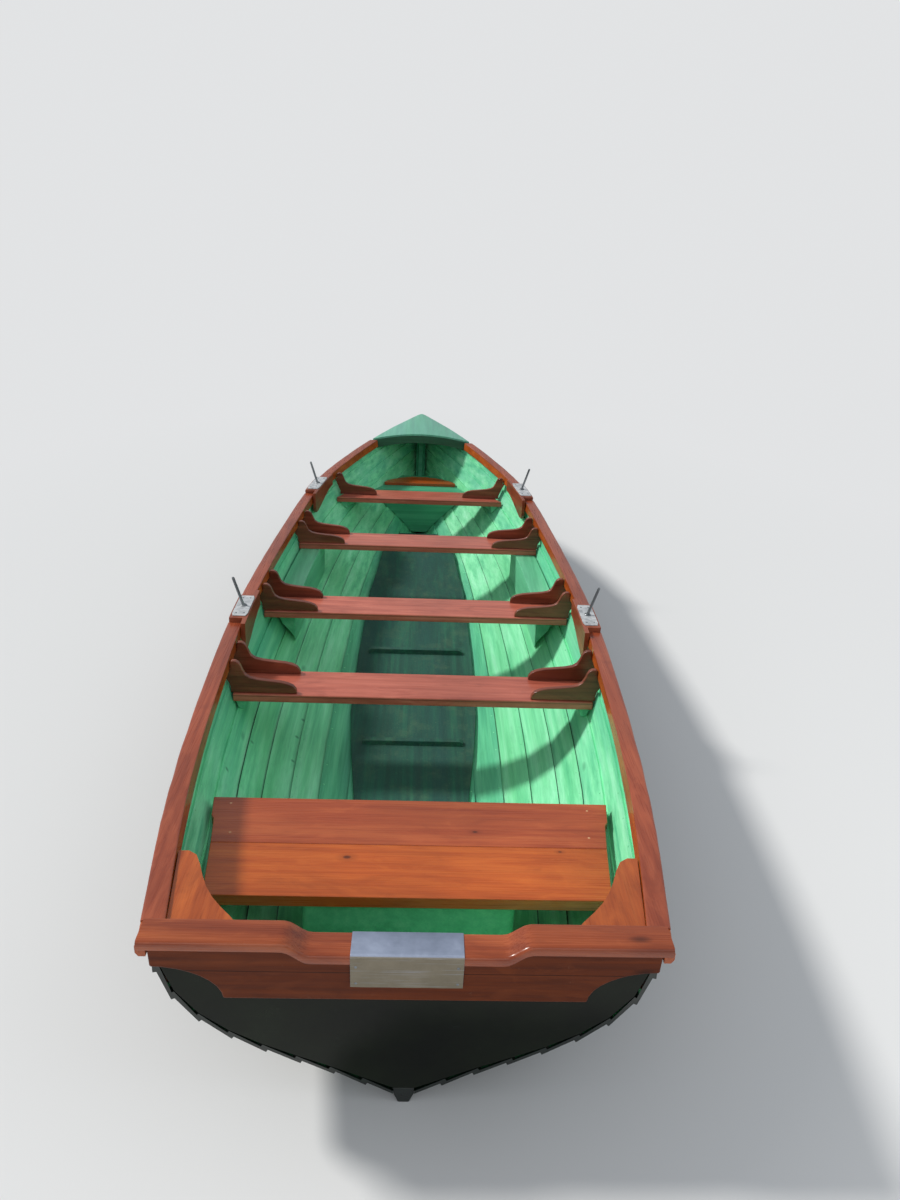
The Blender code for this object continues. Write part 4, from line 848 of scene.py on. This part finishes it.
def cap_outline():
    """Places across the transom's top with the height there, out to the outwales' outer faces."""
    top_tree = tree_of("transom_outer_pad")
    middle = (pad_low[Y] + pad_high[Y]) / 2.0
    edge = min(pad_high[X], -pad_low[X]) - 0.004
    found = []
    for index in range(OUTLINE_STEPS + 1):
        x = -edge + 2.0 * edge * index / OUTLINE_STEPS
        spots = [cast(top_tree, (x, middle + shift, FAR_UP), DOWN) for shift in (0.0, -0.006, 0.006, -0.012, 0.012)]
        heights = [spot.z for spot in spots if spot is not None]
        if heights:
            found.append((x, max(heights)))
    ends = []
    for side, word in reversed(SIDES):
        start = (side * FAR_SIDE, pad_high[Y] - 0.02, found[0][1] - 0.012)
        hit = cast(tree_of("outwale_" + word), start, (-side, 0.0, 0.0))
        ends.append((hit.x if hit is not None else side * 0.66) + side * 0.001)
    return [(ends[0], found[0][1]), *found, (ends[1], found[-1][1])]


def add_transom_cap():
    """The moulded top of the transom: rounded over the aft edge, running down and up through the notch."""
    outline = cap_outline()
    rim = outline[20][1]
    aft_tree, fore_tree = tree_of("transom_outer_pad"), tree_of("transom_inner_board")
    lower_y, upper_y = [cast(aft_tree, (0.3, -FAR_END, rim - drop), FORE).y for drop in (0.05, 0.01)]
    lean = (upper_y - lower_y) / 0.04
    aft_line = upper_y - lean * (rim - 0.01)
    fore_line = cast(fore_tree, (0.3, 0.0, rim - 0.006), AFT).y - lean * (rim - 0.006)
    rings = []
    for x, z in outline:
        ring = []

        def add(line, y, up):
            ring.append(Vector((x, line + lean * (z + up) + y, z + up)))

        for y, up in ((0.0006, -0.006), (0.0004, -0.001), (-0.0015, 0.0022), (-0.005, 0.0030)):
            add(fore_line, y, up)
        for index in range(CAP_TURNS + 1):
            turn = math.pi / 2.0 * index / CAP_TURNS
            add(aft_line, -0.0045 + CAP_RADIUS * (1.0 - math.sin(turn)),
                0.0032 - CAP_RADIUS * (1.0 - math.cos(turn)))
        # Under the lip, then back over the pad's top, just under the moulding's own thickness
        for y, up in ((-0.0045, -0.020), (-0.0038, -0.0245), (-0.0016, -0.0262), (0.0004, -0.0262),
                      (0.0004, -0.010), (0.008, -0.0006)):
            add(aft_line, y, up)
        ring.append(Vector((x, fore_line + lean * z - 0.004, z - 0.0006)))
        ring.append(Vector((x, fore_line + lean * z + 0.0004, z - 0.006)))
        rings.append(ring)
    soften(add_piece("transom_cap", swept(rings), cap_look))
    return aft_line, fore_line, lean, outline


SHEET_THICK = 0.0018
SHEET_LIFT = 0.0036
SHEET_OFF = 0.0050
FOLD_RADIUS = 0.0140
FOLD_TURNS = 8
LEAF_STEPS = 5
SHEET_COLUMNS = 12
SHEET_SAG = 0.0006


def add_motor_plate(aft_line, fore_line, lean, outline):
    """The folded sheet over the notch: its top, its rounded fold and its leaf down the pad."""
    low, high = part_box("motor_plate")
    width, depth = high[X] - low[X], high[Z] - low[Z]
    floor = [z for x, z in outline if abs(x) < 0.05][0]
    top = floor + SHEET_LIFT + SHEET_THICK
    lead = fore_line + lean * floor
    back = aft_line - SHEET_OFF - SHEET_THICK
    outer = [(lead + 0.0024, floor - 0.016), (lead + 0.0024, floor + 0.0010), (lead - 0.0005, top)]
    for index in range(FOLD_TURNS + 1):
        turn = math.pi / 2.0 * index / FOLD_TURNS
        height = top - FOLD_RADIUS + FOLD_RADIUS * math.cos(turn)
        outer.append((back + lean * height + FOLD_RADIUS - FOLD_RADIUS * math.sin(turn), height))
    for index in range(1, LEAF_STEPS + 1):
        height = top - FOLD_RADIUS - (depth - FOLD_RADIUS) * index / LEAF_STEPS
        outer.append((back + lean * height, height))
    inner = []
    for before, (y, z), after in zip(outer[:1] + outer, outer, outer[1:] + outer[-1:]):
        run = Vector((after[0] - before[0], after[1] - before[1])).normalized()
        inner.append((y - run.y * SHEET_THICK, z + run.x * SHEET_THICK))
    rings = []
    for index in range(SHEET_COLUMNS + 1):
        share = index / SHEET_COLUMNS
        ring = [Vector((low[X] + width * share, y, z)) for y, z in outer + inner[::-1]]
        for spot in ring[len(outer) - 3:len(outer) + 3]:
            spot.y -= abs(SHEET_SAG * math.sin(share * math.pi * 3.0))
        rings.append(ring)
    piece = soften(add_piece("motor_plate_sheet", swept(rings), alloy), 0.0005, 1, 60.0)
    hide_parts("motor_plate")
    screws = bmesh.new()
    for side in (-1.0, 1.0):
        for drop in (0.030, depth - 0.020):
            height = floor - drop
            x = side * (width / 2.0 - 0.014) + (low[X] + high[X]) / 2.0
            add_head(screws, (x, back + lean * height, height), (0.0, -1.0, -lean), 0.0040, 0.0012)
    add_piece("plate_screws", screws, steel)


PLATE_ROWS, PLATE_COLUMNS = 9, 5
PLATE_UNDER, PLATE_TOP = Vector((0.0, 0.0, 0.0004)), Vector((0.0, 0.0, 0.0046))
PLATE_CORNER = 0.006
PIN_LEAN = math.radians(17.0)
PIN_SIDES = 20
# Radius and rise of each ring: the collar lies flat, and the pin above it leans
COLLAR_RINGS = ((0.0150, -0.001), (0.0150, 0.0030), (0.0128, 0.0052), (0.0086, 0.0062))
PIN_RINGS = ((0.0070, 0.0066), (0.0065, 0.010), (0.0065, 0.136), (0.0058, 0.1405), (0.0036, 0.1430))


def plate_grid(side, name):
    """Places on a rowlock block's top, in rows and columns under its plate."""
    block, plate = tree_of("rowlock_block_" + name), tree_of("rowlock_plate_" + name)
    low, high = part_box("rowlock_plate_" + name)
    middle_x = side * (abs(low[X] + high[X]) / 2.0)
    tops = []
    for row in range(PLATE_ROWS):
        y = low[Y] + 0.0006 + (high[Y] - low[Y] - 0.0012) * row / (PLATE_ROWS - 1)
        level = cast(block, (middle_x, y, FAR_UP), DOWN).z + 0.0022
        pull = PLATE_CORNER if row in (0, PLATE_ROWS - 1) else 0.0
        inner = cast(plate, (0.0, y, level), (side, 0.0, 0.0)).x + side * pull
        outer = cast(plate, (side * FAR_SIDE, y, level), (-side, 0.0, 0.0)).x - side * pull
        across = [inner + (outer - inner) * column / (PLATE_COLUMNS - 1) for column in range(PLATE_COLUMNS)]
        tops.append([Vector((x, y, cast(block, (x, y, FAR_UP), DOWN).z)) for x in across])
    return tops


def plate_shape(tops):
    """A thin sheet over a grid of places."""
    shape = bmesh.new()
    upper, lower = [[[shape.verts.new(spot + lift) for spot in line] for line in tops]
                    for lift in (PLATE_TOP, PLATE_UNDER)]
    for row in range(PLATE_ROWS - 1):
        for column in range(PLATE_COLUMNS - 1):
            for grid in (upper, lower):
                shape.faces.new((grid[row][column], grid[row][column + 1],
                                 grid[row + 1][column + 1], grid[row + 1][column]))
    last_row, last_column = PLATE_ROWS - 1, PLATE_COLUMNS - 1
    rim = [(0, column) for column in range(last_column)] + [(row, last_column) for row in range(last_row)]
    rim += [(last_row, column) for column in range(last_column, 0, -1)] + [(row, 0) for row in range(last_row, 0, -1)]
    for (r1, c1), (r2, c2) in zip(rim, rim[1:] + rim[:1]):
        shape.faces.new((upper[r1][c1], upper[r2][c2], lower[r2][c2], lower[r1][c1]))
    return shape


def pin_shape(side, centre):
    """A collar lying flat and a pin that leans outboard from it."""
    lean = Vector((side * math.sin(PIN_LEAN), 0.0, math.cos(PIN_LEAN)))
    rings = []
    for profile, first, second, rise_way in (
        (COLLAR_RINGS, Vector((1.0, 0.0, 0.0)), FORE, UP), (PIN_RINGS, -lean.cross(FORE), FORE, lean),
    ):
        for radius, rise in profile:
            turns = [2.0 * math.pi * index / PIN_SIDES for index in range(PIN_SIDES)]
            rings.append([centre + radius * (math.cos(turn) * first + math.sin(turn) * second) + rise_way * rise
                          for turn in turns])
    return swept(rings)


def add_rowlock_plates():
    """Zinc plates on the rowlock blocks with screws, a collar and a pin that leans outboard."""
    for side, word in SIDES:
        for end in ("aft", "fore"):
            name = "%s_%s" % (end, word)
            tops = plate_grid(side, name)
            sheet = soften(add_piece("rowlock_sheet_" + name, plate_shape(tops), zinc), 0.0009)
            centre = sum(tops[PLATE_ROWS // 2], Vector()) / PLATE_COLUMNS + PLATE_TOP
            soften(add_piece("rowlock_pin_" + name, pin_shape(side, centre), steel))
            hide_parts("rowlock_plate_" + name)
            screws = bmesh.new()
            for row in (1, PLATE_ROWS - 2):
                for column in (1, PLATE_COLUMNS - 2):
                    add_head(screws, tops[row][column] + Vector((0.0, 0.0, 0.0044)), UP, 0.0048, 0.0011)
            add_piece("rowlock_screws_" + name, screws, steel)


TONGUE_STEPS = 24
TONGUE_TOP, TONGUE_SIDE, TONGUE_FOOT = -0.0018, -0.0022, -0.022


def add_seat_joint():
    """The tongue that closes the joint between the stern seat's two planks, just below their tops."""
    aft_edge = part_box("seat_plank_aft")[1][Y]
    start, end = aft_edge + 0.0003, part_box("seat_plank_fore")[0][Y] - 0.0003
    tree = tree_of("seat_plank_aft")
    left, right = [cast(tree, (side * 1.2, aft_edge - 0.004, SEAT_TOP - 0.012), (-side, 0.0, 0.0)).x - side * 0.001
                   for side in (-1.0, 1.0)]
    rings = []
    for index in range(TONGUE_STEPS + 1):
        x = left + (right - left) * index / TONGUE_STEPS
        wave = 0.0002 * math.sin(index * 2.3)
        rings.append([Vector((x, y, SEAT_TOP + up)) for y, up in (
            (start, TONGUE_FOOT), (start, TONGUE_SIDE), (start * 0.7 + end * 0.3, TONGUE_TOP + wave),
            (start * 0.3 + end * 0.7, TONGUE_TOP - wave), (end, TONGUE_SIDE), (end, TONGUE_FOOT))])
    look = nodes["seat_plank_aft"].data.materials[0]
    soften(add_piece("seat_joint_tongue", swept(rings), look))


def add_seat_nails():
    """Pale filled nail holes in the stern seat's planks, at their pixels in the photograph."""
    seat = tree_of("seat_plank_aft", "seat_plank_fore")
    shape = bmesh.new()
    for column, row in ((231, 803), (230, 832), (587, 811), (589, 838)):
        hit = cast(seat, seen_at(column, row, SEAT_TOP) + UP * 0.1, DOWN)
        if hit is not None:
            add_head(shape, hit, UP, 0.0042, 0.0004, 14)
    add_piece("seat_nail_marks", shape, filler_look)


add_lap_nails(True)
add_lap_nails(False)
add_inner_stem()
add_stem_seams()
add_gunwale_tops()
add_motor_plate(*add_transom_cap())
add_rowlock_plates()
add_seat_joint()
add_seat_nails()


def add_floor():
    """A wide pale floor, which keeps the boat's shadow and fades into the backdrop's colour."""
    shape = bmesh.new()
    bmesh.ops.create_grid(shape, x_segments=1, y_segments=1, size=60.0)
    mesh = bpy.data.meshes.new("studio_floor")
    shape.to_mesh(mesh)
    shape.free()
    floor = add_object("studio_floor", mesh)
    floor.location = (0.0, 0.0, cad_box[0][2])
    g = Graph("studio_floor", rough=0.9, level=0.1)
    g.fill(g.shader.inputs["Base Color"], FLOOR_TONE)
    glow = g.node("ShaderNodeEmission", {"Color": BACKDROP})
    length = g.node("ShaderNodeVectorMath", {0: g.space((1.0, 0.62, 0.0))}, operation="LENGTH")
    far = g.map(length.outputs["Value"], *FLOOR_FADE, 0.0, 1.0)
    share = g.math("MULTIPLY", far, g.node("ShaderNodeLightPath").outputs["Is Camera Ray"])
    mix = g.node("ShaderNodeMixShader", {0: share, 1: g.shader.outputs[0], 2: glow.outputs[0]})
    g.fill(g.tree.nodes["Material Output"].inputs["Surface"], mix.outputs[0])
    mesh.materials.append(g.material)


def add_world():
    """Even light from all round; the camera itself sees the backdrop's colour."""
    world = bpy.data.worlds.new("studio")
    world.use_nodes = True
    bpy.context.scene.world = world
    tree = world.node_tree
    tree.nodes.clear()
    mix = tree.nodes.new("ShaderNodeMixShader")
    path = tree.nodes.new("ShaderNodeLightPath")
    tree.links.new(path.outputs["Is Camera Ray"], mix.inputs[0])
    for index, (colour, level) in enumerate(((WORLD_TONE, WORLD_LEVEL), (BACKDROP, 1.0))):
        light = tree.nodes.new("ShaderNodeBackground")
        light.inputs["Color"].default_value = (*colour, 1.0)
        light.inputs["Strength"].default_value = level
        tree.links.new(light.outputs[0], mix.inputs[index + 1])
    tree.links.new(mix.outputs[0], tree.nodes.new("ShaderNodeOutputWorld").inputs["Surface"])


bpy.context.scene.view_settings.view_transform = "Standard"
add_camera()
add_world()
add_floor()
add_sun()
add_area("fill", (4.5, -3.5, 5.0), (0.0, 0.0, 0.3), (4.0, 4.0), 30.0, (0.94, 0.97, 1.0))
add_area("stern", (0.0, -6.5, 3.5), (0.0, -2.5, 0.4), (4.0, 2.5), 30.0, (1.0, 0.98, 0.95))
